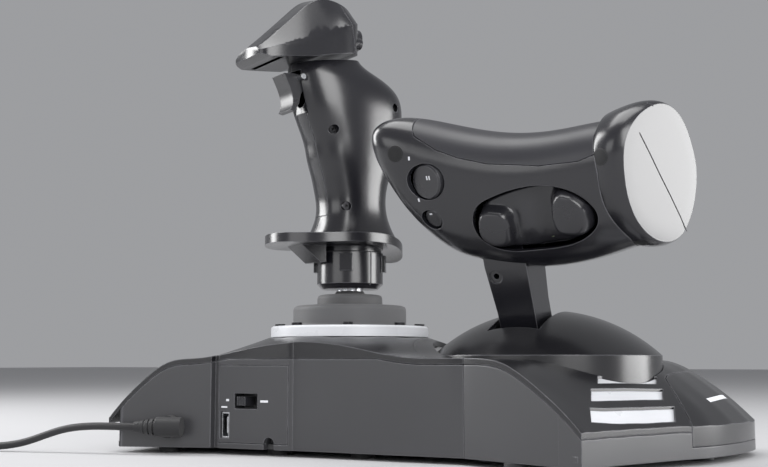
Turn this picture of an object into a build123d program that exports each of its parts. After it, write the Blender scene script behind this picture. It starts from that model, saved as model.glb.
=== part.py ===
from build123d import *
import math
import os

# Flight stick and throttle standing on the table at z = 0, in millimetres.
# X runs to the user's right, Y away from the user ("far"), Z up. The stick rises on the Z axis;
# the throttle base is joined on at the left (-X). The grip and the throttle handle are built
# in frames of their own and then set to their rest positions.

os.makedirs("parts", exist_ok=True)

# ------------------------------------------------------------------ driving dimensions
FOOT_H = 3.0            # height of the rubber feet, the shells start here
PLATE_T = 2.5           # bottom plates
WALL = 2.6              # side wall of the shells
SKIN = 2.8              # thickness of the top covers
GAP = 0.3               # visible seam between shell parts
LIP_Z = 48.0            # highest level of the walls, the covers take over above
EDGE_Z = 17.6           # top of the outer rim
RING_R, RING_IN, RING_Z0, RING_Z1 = 42.0, 33.0, 59.3, 65.0
CONE_SLOPE = 0.345      # fall of the cone around the stick ring
PIVOT_Z = 40.0          # centre of the stick gimbal
SHAFT_R = 7.0
PIN_R = 2.5             # gimbal pins
RUN = 0.05              # running clearance, radial
STICK_YAW = -25.0       # rest position of the grip about its own axis
COLLAR_R, COLLAR_Z0, COLLAR_Z1 = 17.7, 85.0, 104.2
GRIP_WALL = 2.6
THR_X, THR_Y, THR_Z = -103.4, -21.5, 20.0   # throttle axle
THR_LEAN = 25.0         # forward lean of the lever at rest
HANDLE_SCALE = 1.02     # overall size of the handle about the axle
DOME_R, DOME_Z0, DOME_H = 56.6, 50.0, 22.4
SKIRT_Z = 33.0          # the dome's skirt reaches down through its opening
DRUM_R = 46.5           # shutter that closes the dome slot
ARM_X = 1.5             # arm offset from the throttle centre
AXLE_R = 5.0
CABLE_R = 1.9


# ------------------------------------------------------------------ helpers
def save(name, *shapes):
    """Write all solids of the shapes as one named piece."""
    solids = [solid for shape in shapes for solid in shape.solids()]
    piece = solids[0] if len(solids) == 1 else Compound(children=solids)
    export_step(piece, f"parts/{name}.step")


def box(x0, x1, y0, y1, z0, z1):
    centre = Pos((x0 + x1) / 2, (y0 + y1) / 2, (z0 + z1) / 2)
    return centre * Box(x1 - x0, y1 - y0, z1 - z0)


def cyl(radius, z0, z1, x=0.0, y=0.0):
    return Pos(x, y, (z0 + z1) / 2) * Cylinder(radius, z1 - z0)


def rod(radius, start, direction, length):
    """Cylinder that begins at start and runs along direction."""
    plane = Plane(origin=start, z_dir=direction)
    return plane * Pos(0, 0, length / 2) * Cylinder(radius, length)


def rod_x(radius, x, y, z, length):
    return rod(radius, (x, y, z), (1, 0, 0), length)


def rod_y(radius, x, y, z, length):
    return rod(radius, (x, y, z), (0, 1, 0), length)


def wheel(radius, width):
    """Cylinder across X, centred on the origin."""
    return Rot(0, 90, 0) * Cylinder(radius, width)


def tube(outer, inner, z0, z1):
    return cyl(outer, z0, z1) - cyl(inner, z0 - 1, z1 + 1)


def extrude_outline(points, direction, length):
    face = make_face(Polyline(*points, close=True))
    return extrude(face, amount=length, dir=direction)


def prism(outline, z0, z1):
    """Upright prism over an (x, y) outline."""
    return extrude_outline([(x, y, z0) for x, y in outline], (0, 0, 1), z1 - z0)


def side_prism(outline, x0, x1):
    """Prism across X over a (y, z) outline."""
    return extrude_outline([(x0, y, z) for y, z in outline], (1, 0, 0), x1 - x0)


def front_prism(outline, y0, y1):
    """Prism along Y over an (x, z) outline."""
    return extrude_outline([(x, y0, z) for x, z in outline], (0, 1, 0), y1 - y0)


def largest(shape):
    return sorted(shape.solids(), key=lambda solid: -solid.volume)[0]


def drill(body, spots, radius, z0, z1):
    for x, y in spots:
        body = body - cyl(radius, z0, z1, x, y)
    return body


def signed_power(value, exponent):
    return math.copysign(abs(value) ** exponent, value)


# ------------------------------------------------------------------ plan outline of the base
# (x, y) points; both side walls run from the far corner towards the user
LEFT_WALL = [
    (-155.5, 72.2), (-163.3, 46.0), (-171.6, 24.0), (-180.1, 3.6), (-187.0, -12.0),
    (-191.6, -32.0), (-193.9, -56.0), (-192.5, -78.0), (-184.5, -97.0), (-168.0, -109.0),
    (-146.0, -112.0)]
RIGHT_WALL = [
    (101.0, 74.0), (107.0, 46.0), (114.0, 24.0), (121.5, 3.6), (127.5, -12.0), (131.5, -32.0),
    (133.0, -56.0), (131.0, -78.0), (122.5, -97.0), (106.0, -109.0), (84.0, -112.0)]
FRONT_MID = [
    (-118.0, -106.0), (-88.0, -96.0), (-58.0, -90.0), (-31.0, -88.0), (-4.0, -90.0),
    (26.0, -96.0), (56.0, -106.0)]
FAR = [
    (101.0, 74.0), (48.9, 55.7), (48.4, 52.6), (45.6, 52.4), (45.0, 54.5), (3.5, 51.6),
    (1.8, 50.3), (-90.5, 48.0), (-93.2, 49.2), (-155.5, 72.2)]
# corners of the far wall for inset outlines, before the inset is taken off y
FAR_INSET = [(49.3, 53.4), (45.0, 52.0), (3.5, 50.6), (-90.0, 47.9), (-93.4, 48.8)]
USER_EDGE = LEFT_WALL + FRONT_MID + RIGHT_WALL[::-1]
BREAKS = [0, 4, 7, 10, 12, 14, 16, 18, 21, 24, 28]   # points where one spline hands to the next


def edge_normal(i):
    """Inward normal of the user-side edge at point i."""
    x0, y0 = USER_EDGE[max(i - 1, 0)]
    x1, y1 = USER_EDGE[min(i + 1, len(USER_EDGE) - 1)]
    length = math.hypot(x1 - x0, y1 - y0)
    return -(y1 - y0) / length, (x1 - x0) / length


def outline_face(z, inset=0.0):
    """Closed plan outline at height z, moved inward by inset."""
    normals = [edge_normal(i) for i in range(len(USER_EDGE))]
    points = [(x + nx * inset, y + ny * inset, z)
              for (x, y), (nx, ny) in zip(USER_EDGE, normals)]
    edges = []
    for start, end in zip(BREAKS[:-1], BREAKS[1:]):
        tangents = [(normals[i][1], -normals[i][0], 0) for i in (start, end)]
        spline = Spline(*points[start:end + 1], tangents=tangents, tangent_scalars=(1.0, 1.0))
        edges.append(spline.edges()[0])
    far = FAR[1:-1] if inset == 0.0 else [(x, y - inset) for x, y in FAR_INSET]
    far_line = Polyline(points[-1], *[(x, y, z) for x, y in far], points[0])
    return make_face(Wire(list(far_line.edges()) + edges)).face()


# ------------------------------------------------------------------ moulded top surface
# (distance inward from the edge, rise above EDGE_Z)
ROLL = [(0, 0), (4, 4.2), (9, 9.0), (14, 13.2), (19, 17.1), (24, 20.8), (28, 23.5), (33, 26.3),
        (38, 28.5), (47, 30.2), (58, 30.6), (75, 30.6)]


def smooth_table(x, table):
    """Monotone cubic reading of an (x, y) table."""
    xs, ys = zip(*table)
    if x <= xs[0]:
        return ys[0]
    if x >= xs[-1]:
        return ys[-1]
    chords = [(y1 - y0) / (x1 - x0) for (x0, y0), (x1, y1) in zip(table, table[1:])]
    slopes = [chords[0]]
    for before, after in zip(chords, chords[1:]):
        turning = before * after <= 0
        slopes.append(0 if turning else 2 * before * after / (before + after))
    slopes.append(chords[-1])
    i = next(i for i in range(len(chords)) if x <= xs[i + 1])
    step = xs[i + 1] - xs[i]
    t = (x - xs[i]) / step
    return ((2 * t ** 3 - 3 * t ** 2 + 1) * ys[i]
            + (t ** 3 - 2 * t ** 2 + t) * step * slopes[i]
            + (-2 * t ** 3 + 3 * t ** 2) * ys[i + 1]
            + (t ** 3 - t ** 2) * step * slopes[i + 1])


def distance_to(x, y, line):
    """Shortest distance from (x, y) to an open polyline."""
    best = 1e9
    for (x0, y0), (x1, y1) in zip(line[:-1], line[1:]):
        dx, dy = x1 - x0, y1 - y0
        t = max(0.0, min(1.0, ((x - x0) * dx + (y - y0) * dy) / (dx * dx + dy * dy)))
        best = min(best, math.hypot(x - x0 - t * dx, y - y0 - t * dy))
    return best


def inside_plan(x, y):
    """Even-odd test against the plan outline."""
    polygon = FAR + USER_EDGE[1:]
    inside = False
    xj, yj = polygon[-1]
    for xi, yi in polygon:
        if (yi > y) != (yj > y) and x < (xj - xi) * (y - yi) / (yj - yi + 1e-12) + xi:
            inside = not inside
        xj, yj = xi, yi
    return inside


def smooth_max(a, b, width):
    blend = max(width - abs(a - b), 0.0) / width
    return max(a, b) + blend * blend * width * 0.25


def top_z(x, y):
    """Height of the moulded top surface over the base."""
    if y > 60:
        # keep the falling surface going smoothly past the far wall
        distance = min(distance_to(x, y, [(-150.0, 92.0)] + LEFT_WALL),
                       distance_to(x, y, [(97.0, 94.0)] + RIGHT_WALL))
        past_far_wall = x > -155.5 - (y - 72.2) * 0.28 and x < 101.0 - (y - 74.0) * 0.2
    else:
        distance = distance_to(x, y, USER_EDGE)
        past_far_wall = False
    # towards the far side the roll widens on the left and tightens on the right
    far_share = max(0.0, min(1.0, (y - 15.0) / 45.0))
    distance *= 1.0 - 0.16 * far_share if x < -35 else 1.0 + 0.22 * far_share
    if past_far_wall or inside_plan(x, min(y, 45.0) if -140 < x < 85 else y):
        z = EDGE_Z + smooth_table(distance, ROLL)
    else:
        z = EDGE_Z - min(distance, 25.0)
    cone_z = RING_Z0 - max(0.0, math.hypot(x, y) - RING_R) * CONE_SLOPE
    return smooth_max(z, cone_z, 4.0) if cone_z > 40 else z


def top_surface():
    xs = [-212 + i * (362.0 / 60) for i in range(61)]
    ys = [-132 + j * (232.0 / 40) for j in range(41)]
    points = [[Vector(x, y, top_z(x, y)) for y in ys] for x in xs]
    return Face.make_surface_from_array_of_points(points, tol=0.08, min_deg=3, max_deg=5)


TOP = top_surface()


def top_layer(depth, thickness):
    """Layer that starts depth below the top surface and is thickness high."""
    return extrude(Pos(0, 0, -depth) * TOP, amount=thickness, dir=(0, 0, 1))


UNDER_TOP = top_layer(90, 90)                        # everything below the top surface
UNDER_SKIN = Pos(0, 0, -SKIN) * UNDER_TOP
UNDER_COVER = Pos(0, 0, -SKIN - GAP) * UNDER_TOP     # leaves the seam below the cover
UNDER_MID_SKIN = Pos(0, 0, -SKIN * 0.5) * UNDER_TOP
COVER_SHEET = top_layer(SKIN, SKIN)
OUTER = extrude(outline_face(FOOT_H), amount=75, dir=(0, 0, 1))
INNER = extrude(outline_face(FOOT_H - 5, WALL), amount=95, dir=(0, 0, 1))
PLATE = extrude(outline_face(FOOT_H, WALL + 0.2), amount=PLATE_T, dir=(0, 0, 1))

# seam between the stick base and the throttle base: straight start, then a curve, (x, y)
SEAM_STRAIGHT = [(-91.0, 110.0), (-91.0, 60.0), (-90.8, 44.0)]
SEAM_CURVE = [
    (-90.8, 44.0), (-74.0, 41.0), (-57.0, 31.0), (-47.5, 14.0), (-43.9, -9.1), (-45.5, -30.0),
    (-52.0, -52.0), (-62.0, -74.0), (-70.0, -98.0), (-72.0, -140.0)]


def throttle_side(shift):
    """All space left of the seam, the seam moved by shift along X."""
    straight = Polyline(*[(x + shift, y) for x, y in SEAM_STRAIGHT])
    curve = Spline(*[(x + shift, y) for x, y in SEAM_CURVE])
    back = Polyline((SEAM_CURVE[-1][0] + shift, SEAM_CURVE[-1][1]), (-260, -140), (-260, 110),
                    (SEAM_STRAIGHT[0][0] + shift, 110))
    wire = Wire(list(straight.edges()) + list(curve.edges()) + list(back.edges()))
    return extrude(make_face(wire), amount=120, dir=(0, 0, 1))


THROTTLE_SIDE = throttle_side(-GAP / 2)
NOT_STICK_SIDE = throttle_side(GAP / 2)

# ------------------------------------------------------------------ walls and covers, both bases
GUSSET = [(-144.0, 80.0), (-160.0, 80.0), (-160.0, 64.0), (-153.5, 62.5), (-144.0, 64.8)]


def base_walls():
    below_lip = box(-260, 200, -160, 120, 0, LIP_Z - GAP)
    walls = ((OUTER & UNDER_COVER) - INNER) & below_lip
    ledge = (extrude(outline_face(5.7, WALL - 0.5), amount=2.2, dir=(0, 0, 1))
             - extrude(outline_face(5.0, WALL + 7.0), amount=5.0, dir=(0, 0, 1)))
    walls = walls + ledge
    return walls + (prism(GUSSET, FOOT_H, LIP_Z) & OUTER & UNDER_COVER)


WALLS = base_walls()
COVERS = ((OUTER & COVER_SHEET)
          + (((OUTER & UNDER_TOP) - INNER) & box(-260, 200, -160, 120, LIP_Z, 90)))
DOME_OPENING = cyl(DOME_R + 0.7, 20, 80, THR_X, THR_Y)

# (x, y) of the bottom screws
STICK_SCREWS = [(72, 40), (100, -20), (96, -84), (32, -74), (-40, -76), (-44, 36.5)]
COVER_T_SCREWS = [(-134, 52), (-112, -84), (-98.5, 41.2)]
PANEL_SCREWS = [(-176, -22), (-176, -84)]
THROTTLE_SCREWS = COVER_T_SCREWS + PANEL_SCREWS

# hand-rest panel on the left flank of the throttle base: the opening, and the panel in it
PANEL_OPENING = [
    (-230.0, 6.5), (-182.5, 2.0), (-179.0, -2.9), (-174.1, -8.1), (-168.8, -14.2),
    (-163.8, -20.6), (-163.0, -26.0), (-164.5, -50.0), (-165.7, -78.2), (-171.0, -92.0),
    (-182.0, -103.0), (-230.0, -130.0)]
PANEL = [
    (-230.0, 6.1), (-182.3, 1.6), (-179.3, -3.3), (-174.5, -8.5), (-169.2, -14.6),
    (-164.2, -20.9), (-163.4, -26.0), (-164.9, -50.0), (-166.1, -78.1), (-171.3, -91.7),
    (-182.2, -102.6), (-230.0, -129.5)]

# vent openings in the left of the throttle cover
VENTS = [[(-144.6, 19.6), (-161.1, -16.6), (-162.9, -9.4), (-146.6, 25.8)],
         [(-146.2, 33.5), (-165.9, -9.0), (-168.5, -0.1), (-149.5, 43.1)],
         [(-151.1, 49.0), (-173.0, -1.8), (-176.0, 7.6), (-155.0, 58.5)]]
VENT_PLAY = 0.12        # each insert corner is drawn in by this much

# far wall: port panel between two points on its outer face, openings in it
PORT_PANEL_A, PORT_PANEL_B = (4.0, 51.64), (44.6, 54.47)
PORT_X0, PORT_X1, PORT_Z0, PORT_Z1 = 38.2, 43.9, 8.0, 21.4
SEL_X0, SEL_X1, SEL_Z0, SEL_Z1 = 21.6, 35.2, 23.0, 30.6
PORT_HOLE = box(PORT_X0, PORT_X1, 30, 60, PORT_Z0, PORT_Z1)
FOOT_NOTCH = rod(3.0, (14.8, 60, 6.0), (0, -1, 0), 14) + box(11.8, 17.8, 46, 60, 0, 6.0)

# where the cable leaves the slanted right part of the far wall
(CORNER_X, CORNER_Y), (WING_X, WING_Y) = FAR[:2]
WALL_SLOPE = math.atan2(CORNER_Y - WING_Y, CORNER_X - WING_X)
WALL_OUT = Vector(-math.sin(WALL_SLOPE), math.cos(WALL_SLOPE), 0.0)
EXIT_X, EXIT_Z = 68.5, 13.6
CABLE_EXIT = Vector(EXIT_X, WING_Y + (EXIT_X - WING_X) * math.tan(WALL_SLOPE), EXIT_Z)


def screw_boss(x, y):
    return (cyl(3.4, 6.0, 62, x, y) - cyl(1.3, 0, 18, x, y)) & UNDER_MID_SKIN


def add_bosses(body, spots):
    for x, y in spots:
        body = body + screw_boss(x, y)
    return body


def build_stick_shell():
    shell = largest(WALLS - NOT_STICK_SIDE)
    (ax, ay), (bx, by) = PORT_PANEL_A, PORT_PANEL_B
    panel_opening = prism([(ax - GAP, ay + 3), (bx + GAP, by + 3),
                           (bx + GAP, by - 2.0), (ax - GAP, ay - 2.0)], 5.7, 44.9)
    shell = largest(shell - panel_opening)
    selector_room = box(SEL_X0 - 1.5, SEL_X1 + 1.5, 30, 60, SEL_Z0 - 1.5, SEL_Z1 + 1.5)
    shell = largest(shell - PORT_HOLE - selector_room - FOOT_NOTCH)
    shell = largest(shell - rod(3.2, CABLE_EXIT - WALL_OUT * 6, WALL_OUT, 12))
    save("stick_base_shell", largest(drill(shell, STICK_SCREWS, 3.7, 5.0, 9.0)))


def build_stick_cover():
    cover = largest(COVERS - NOT_STICK_SIDE)
    ring_seat = cyl(RING_R + 0.3, RING_Z0 - 0.04, 80)
    cover = largest(cover - cyl(39.2, 30, 80) - ring_seat - DOME_OPENING)
    save("stick_base_cover", add_bosses(cover, STICK_SCREWS))


def build_throttle_base():
    """Shell, cover with its vents, and the panel set into both."""
    panel_opening = prism(PANEL_OPENING, 8.1, 70)
    shell = largest(largest(WALLS & THROTTLE_SIDE) - panel_opening)
    save("throttle_base_shell", largest(drill(shell, THROTTLE_SCREWS, 3.7, 5.0, 9.0)))

    cover = largest(largest(COVERS & THROTTLE_SIDE) - panel_opening)
    vents = [prism(vent, 10, 60) for vent in VENTS]
    cover = cover - (vents[0] + vents[1] + vents[2])
    cover = largest(cover - DOME_OPENING)
    save("throttle_base_cover", add_bosses(cover, COVER_T_SCREWS))

    panel = largest(((OUTER & UNDER_TOP) - (INNER & UNDER_SKIN)) & prism(PANEL, 8.4, 70))
    save("hand_rest_panel", add_bosses(panel, PANEL_SCREWS))


def build_vent_inserts():
    sheet = top_layer(2.65, 1.4)
    inserts = []
    for vent in VENTS:
        cx = sum(x for x, y in vent) / 4
        cy = sum(y for x, y in vent) / 4
        outline = []
        for x, y in vent:
            reach = math.hypot(x - cx, y - cy)
            outline.append((x - (x - cx) / reach * VENT_PLAY, y - (y - cy) / reach * VENT_PLAY))
        inserts.append(largest((prism(outline, 10, 60) & sheet) - DOME_OPENING))
    save("vent_inserts", *inserts)


# ------------------------------------------------------------------ underside of the base
FEET = [(0, 0), (78, 52), (112, -30), (92, -96), (6, -80), (-25, -80), (18, 38), (-29, 34),
        (-119, 53), (-176, -36), (-156, -98), (-108, -92), (-104, 28)]
GUSSET_NOTCH = [(-143.7, 80.0), (-160.3, 80.0), (-160.3, 62.0), (-153.5, 62.1), (-143.7, 64.4)]
BOARD_POSTS = [(-26, -74), (18, -74), (-26, -48), (18, -48)]
# knob under the throttle base that sets the lever's drag
KNOB_X, KNOB_Y = THR_X - 22.0, THR_Y - 34.0
KNOB_R, KNOB_SPINDLE_R = 9.0, 3.0
HOUSING_HALF = 13.0     # half width of the knob housing


def build_base_screws():
    screws = []
    for x, y in STICK_SCREWS + THROTTLE_SCREWS:
        slot = box(x - 1.8, x + 1.8, y - 0.35, y + 0.35, 1.5, 2.3)
        screws.append(cyl(2.6, 1.6, FOOT_H, x, y) + cyl(1.25, FOOT_H - 0.5, 15.0, x, y) - slot)
    save("base_screws", *screws)


def build_bottom_plates():
    stick = largest(PLATE - NOT_STICK_SIDE - box(86.0, 100.0, 68.0, 76.0, 2, 6))
    stick = drill(stick, STICK_SCREWS, 1.7, 0, 10)
    for x, y in BOARD_POSTS:
        stick = stick + cyl(2.4, 5.0, 12.9, x, y)

    throttle = largest((PLATE & THROTTLE_SIDE) - prism(GUSSET_NOTCH, 2, 6))
    throttle = drill(throttle, THROTTLE_SCREWS, 1.7, 0, 10)
    throttle = throttle - cyl(KNOB_R + RUN, 0, 12, KNOB_X, KNOB_Y)
    # roof and two side walls over the knob
    x0, x1 = KNOB_X - HOUSING_HALF, KNOB_X + HOUSING_HALF
    y0, y1 = KNOB_Y - HOUSING_HALF, KNOB_Y + HOUSING_HALF
    roof = box(x0, x1, y0, y1, 7.8, 9.6) - cyl(KNOB_SPINDLE_R + RUN, 5, 15, KNOB_X, KNOB_Y)
    housing = roof + box(x0, x0 + 1.8, y0, y1, 5.5, 8) + box(x1 - 1.8, x1, y0, y1, 5.5, 8)
    throttle = largest(throttle + housing)
    save("bottom_plates", largest(stick), throttle)


def build_tension_knob():
    knob = cyl(KNOB_R, 1.2, 7.2, KNOB_X, KNOB_Y) + cyl(10.5, 6.0, 7.6, KNOB_X, KNOB_Y)
    knob = knob - box(KNOB_X - 7, KNOB_X + 7, KNOB_Y - 1, KNOB_Y + 1, 0.5, 2.6)
    for i in range(12):     # scallops around the lower edge
        angle = math.radians(30 * i)
        knob = knob - cyl(0.9, 0.5, 2.8, KNOB_X + 9.2 * math.cos(angle),
                          KNOB_Y + 9.2 * math.sin(angle))
    save("tension_knob", knob + cyl(KNOB_SPINDLE_R, 7.6, 12.0, KNOB_X, KNOB_Y))


def build_base_contents():
    save("rubber_feet", *[cyl(6.0, 0, FOOT_H, x, y) for x, y in FEET])
    save("ballast_plates", box(50, 88, -60, 14, 5.6, 9.6), box(-166, -146, -70, -34, 5.6, 9.6))
    board = box(-30, 22, -78, -44, 13.0, 14.6)
    chips = (box(-12, -2, -66, -56, 14.6, 16.2) + box(4, 12, -62, -58, 14.6, 15.8)
             + box(-26, -20, -64, -52, 14.6, 19.0))
    save("main_board", board + chips)


# ------------------------------------------------------------------ port and selector
def build_port():
    """Panel with the selector's cup behind it, and the socket."""
    (ax, ay), (bx, by) = PORT_PANEL_A, PORT_PANEL_B
    panel = prism([PORT_PANEL_A, PORT_PANEL_B, (bx, by - 1.8), (ax, ay - 1.8)], 6.0, 44.6)
    panel = panel - PORT_HOLE - box(SEL_X0, SEL_X1, 30, 60, SEL_Z0, SEL_Z1) - FOOT_NOTCH
    cup = (box(SEL_X0 - 1.2, SEL_X1 + 1.2, 44.0, 52.0, SEL_Z0 - 1.2, SEL_Z1 + 1.2)
           - box(SEL_X0, SEL_X1, 45.4, 55, SEL_Z0, SEL_Z1))
    save("port_panel", largest(panel + cup))

    def inset_box(side, y0, y1, end):
        return box(PORT_X0 + side, PORT_X1 - side, y0, y1, PORT_Z0 + end, PORT_Z1 - end)

    socket = inset_box(0.25, 42.5, 53.2, 0.25) - inset_box(1.0, 44.0, 60, 1.0)
    save("port_socket", socket + inset_box(2.4, 43.5, 51.5, 2.6))


def build_selector_slider():
    x1 = SEL_X1 - 1.8
    x0 = x1 - 5.2
    slider = box(x0, x1, 46.4, 54.2, SEL_Z0 + 1.6, SEL_Z1 - 1.6)
    for i in range(4):      # grooves for the fingertip
        x = x0 + 0.8 + i * 1.2
        slider = slider - box(x - 0.3, x + 0.3, 53.5, 55, SEL_Z0, SEL_Z1)
    save("selector_slider", slider)


# ------------------------------------------------------------------ cable and plug
# the strain relief leaves the wall, then turns along it
ALONG = Vector(math.cos(WALL_SLOPE + 0.10), math.sin(WALL_SLOPE + 0.10), 0)
SLEEVE = CABLE_EXIT + WALL_OUT * 6.2 - ALONG * 7.5    # start of the part along the wall
CABLE_PATH = Spline(
    tuple(SLEEVE + ALONG * 6.1), tuple(SLEEVE + ALONG * 27.0), (124.0, 86.0, 11.0),
    (142.0, 92.0, 5.0), (164.0, 98.0, 2.2), (190.0, 108.0, 2.2), (214.0, 126.0, 2.2),
    (222.0, 150.0, 3.2), tangents=[tuple(ALONG), (0.0, 1.0, 0.0)])


def cable_solid(radius):
    start = Plane(origin=CABLE_PATH @ 0, z_dir=CABLE_PATH % 0)
    return sweep(start * Circle(radius), path=CABLE_PATH)


def build_strain_relief():
    relief = (rod(3.0, CABLE_EXIT - WALL_OUT * 4.5, WALL_OUT, 6.0)
              + rod(5.6, CABLE_EXIT + WALL_OUT * 0.4, WALL_OUT, 5.6))
    relief = relief + rod(5.0, SLEEVE, ALONG, 13.0)
    tail = Plane(origin=SLEEVE + ALONG * 12.5, z_dir=ALONG) * Pos(0, 0, 6.0)
    relief = relief + tail * Cone(4.6, 2.6, 12.0)
    for i in range(4):      # flex grooves
        plane = Plane(origin=SLEEVE + ALONG * (14.0 + i * 2.6), z_dir=ALONG)
        relief = relief - plane * (Cylinder(6, 0.9) - Cylinder(2.9, 0.9))
    relief = relief - rod(CABLE_R + 0.02, SLEEVE + ALONG * 6.0, ALONG, 30.0)
    save("cable_strain_relief", largest(relief - cable_solid(CABLE_R + 0.02)))


def build_cable_and_plug():
    save("usb_cable", cable_solid(CABLE_R))
    end = CABLE_PATH @ 1
    x, y = end.X, end.Y
    body = box(x - 7.6, x + 7.6, y - 0.5, y + 22.0, 0.0, 8.2)
    body = chamfer(body.edges().filter_by(Axis.Y), 1.6)
    body = body + rod_y(3.1, x, y - 1.5, end.Z, 2.0)
    body = (body - rod_y(CABLE_R + 0.05, x, y - 14.0, end.Z, 14.1)
            - box(x - 6.05, x + 6.05, y + 10.0, y + 40.0, 1.85, 6.35))
    save("usb_plug_body", body)
    shell = box(x - 6.0, x + 6.0, y + 10.05, y + 34.0, 1.9, 6.3)
    shell = (shell - box(x - 5.6, x + 5.6, y + 16.0, y + 40.0, 2.3, 5.9)
             + box(x - 5.2, x + 5.2, y + 15.9, y + 32.5, 2.4, 4.0))
    save("usb_plug_shell", shell)


# ------------------------------------------------------------------ ring and boot around the stick
RING_SCREW_CIRCLE = 37.3


def build_ring():
    ring = tube(RING_R, RING_IN, RING_Z0 - 2.2, RING_Z1)
    # the lower part steps in to drop through the cover
    ring = ring - (cyl(60, 50, RING_Z0 - 0.02) - cyl(37.95, 40, 70))
    ring = chamfer(ring.edges().filter_by(GeomType.CIRCLE).group_by(Axis.Z)[-1], 0.9)
    screws = []
    for i in range(8):
        angle = math.radians(120.0 + 45.0 * i)
        x, y = RING_SCREW_CIRCLE * math.cos(angle), RING_SCREW_CIRCLE * math.sin(angle)
        ring = ring - cyl(1.5, RING_Z0 - 3, RING_Z1 + 1, x, y)
        screws.append(cyl(1.48, RING_Z0 - 1.5, RING_Z1, x, y)
                      + cyl(2.7, RING_Z1, RING_Z1 + 1.5, x, y)
                      - box(x - 1.6, x + 1.6, y - 0.3, y + 0.3, RING_Z1 + 0.9, RING_Z1 + 2))
    save("gimbal_ring", ring)
    save("ring_screws", *screws)


def build_boot():
    save("boot_lower", tube(32.6, 29.0, 57.6, 62.0) + tube(30.6, 29.0, 60.0, 76.0)
         + tube(30.6, 18.2, 74.6, 76.0))
    save("boot_upper", tube(17.7, 16.3, 73.0, 82.0) + tube(17.7, SHAFT_R + 0.1, 80.6, 82.0))


# ------------------------------------------------------------------ gimbal, shaft and collar
def pivot_x(radius):
    """Long rod on the pitch axis."""
    return rod_x(radius, -60, 0, PIVOT_Z, 120)


def pivot_y(radius):
    """Long rod on the roll axis."""
    return rod_y(radius, 0, -60, PIVOT_Z, 120)


def build_gimbal_housing():
    housing = box(-31, 31, -40, 40, 28, 53) - box(-26, 26, -36, 36, 20, 60)
    for side_x in (-1, 1):
        for side_y in (-1, 1):
            x, y = side_x * 28, side_y * 37
            housing = housing + box(x - 3, x + 3, y - 3, y + 3, 5.6, 28.5)
    save("gimbal_housing", housing - pivot_x(PIN_R + RUN))


def build_gimbal_frame():
    frame = (box(-23.5, 23.5, -23.5, 23.5, PIVOT_Z - 6, PIVOT_Z + 6)
             - box(-18.5, 18.5, -18.5, 18.5, 20, 60))
    frame = frame - pivot_x(PIN_R) - pivot_y(PIN_R + RUN)
    save("gimbal_frame", frame + rod_x(PIN_R, 18.8, 0, PIVOT_Z, 17.2)
         + rod(PIN_R, (-18.8, 0, PIVOT_Z), (-1, 0, 0), 13.0))


def build_gimbal_carrier():
    carrier = (box(-12, 12, -17.6, 17.6, PIVOT_Z - 7, PIVOT_Z + 7)
               - pivot_y(PIN_R) - cyl(SHAFT_R, 20, 60))
    save("gimbal_carrier", carrier + rod_y(PIN_R, 0, 8.2, PIVOT_Z, 20.8)
         + rod(PIN_R, (0, -8.2, PIVOT_Z), (0, -1, 0), 15.6))


def build_sensors():
    pitch = (rod_x(8.0, 31.1, 0, PIVOT_Z, 7.0)
             + box(31.1, 34.0, -11, 11, PIVOT_Z - 3, PIVOT_Z + 3)
             + box(32.5, 36.5, -4, 4, PIVOT_Z - 12, PIVOT_Z - 5))
    save("pitch_sensor", pitch - rod_x(PIN_R + RUN, 20, 0, PIVOT_Z, 16.3))
    roll = (rod_y(7.0, 0, 23.6, PIVOT_Z, 6.4)
            + box(-9.5, 9.5, 23.6, 26.0, PIVOT_Z - 3, PIVOT_Z + 3))
    save("roll_sensor", roll - rod_y(PIN_R + RUN, 0, 10, PIVOT_Z, 19.2))


def build_shaft_and_collar():
    groove = tube(SHAFT_R + 2, SHAFT_R - 0.8, 119.2, 120.2)
    save("stick_shaft", tube(SHAFT_R, 5.0, 33.2, 121.0) - groove)
    collar = cyl(COLLAR_R, COLLAR_Z0, COLLAR_Z1)
    collar = chamfer(collar.edges().filter_by(GeomType.CIRCLE).group_by(Axis.Z)[0], 2.6)
    for i in range(4):      # lugs around the rim
        lug = box(COLLAR_R - 1.0, COLLAR_R + 1.6, -3.4, 3.4, 94.0, 103.0)
        collar = collar + Rot(0, 0, 115.0 + 90.0 * i) * lug
    groove = Rot(0, 0, 160) * box(16.9, 20, -0.3, 0.3, 80, 103.8)
    save("stick_collar", collar - cyl(SHAFT_R, 80, 110) - groove)


# ------------------------------------------------------------------ stick grip
# built facing +Y (front), then turned to its rest position
GRIP = Rot(0, 0, STICK_YAW)
# (height, front reach, rear reach, half width)
GRIP_TAB = [
    (112.8, 23.0, 26.5, 19.0), (118.0, 20.8, 23.3, 17.8), (124.0, 18.8, 20.8, 16.8),
    (131.0, 18.6, 19.5, 16.5), (139.0, 20.2, 20.0, 17.0), (146.0, 22.0, 22.0, 17.5),
    (154.0, 24.6, 25.2, 18.0), (162.0, 26.4, 27.6, 18.6), (170.0, 29.5, 29.3, 19.2),
    (178.0, 33.0, 30.2, 19.7), (186.0, 35.5, 29.8, 20.0), (192.0, 37.0, 27.4, 19.6),
    (197.0, 37.6, 22.0, 18.4), (201.0, 37.6, 14.0, 16.8), (204.5, 37.0, 6.0, 15.4),
    (208.0, 36.0, 1.0, 14.4), (214.0, 34.0, -1.0, 14.0)]
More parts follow.
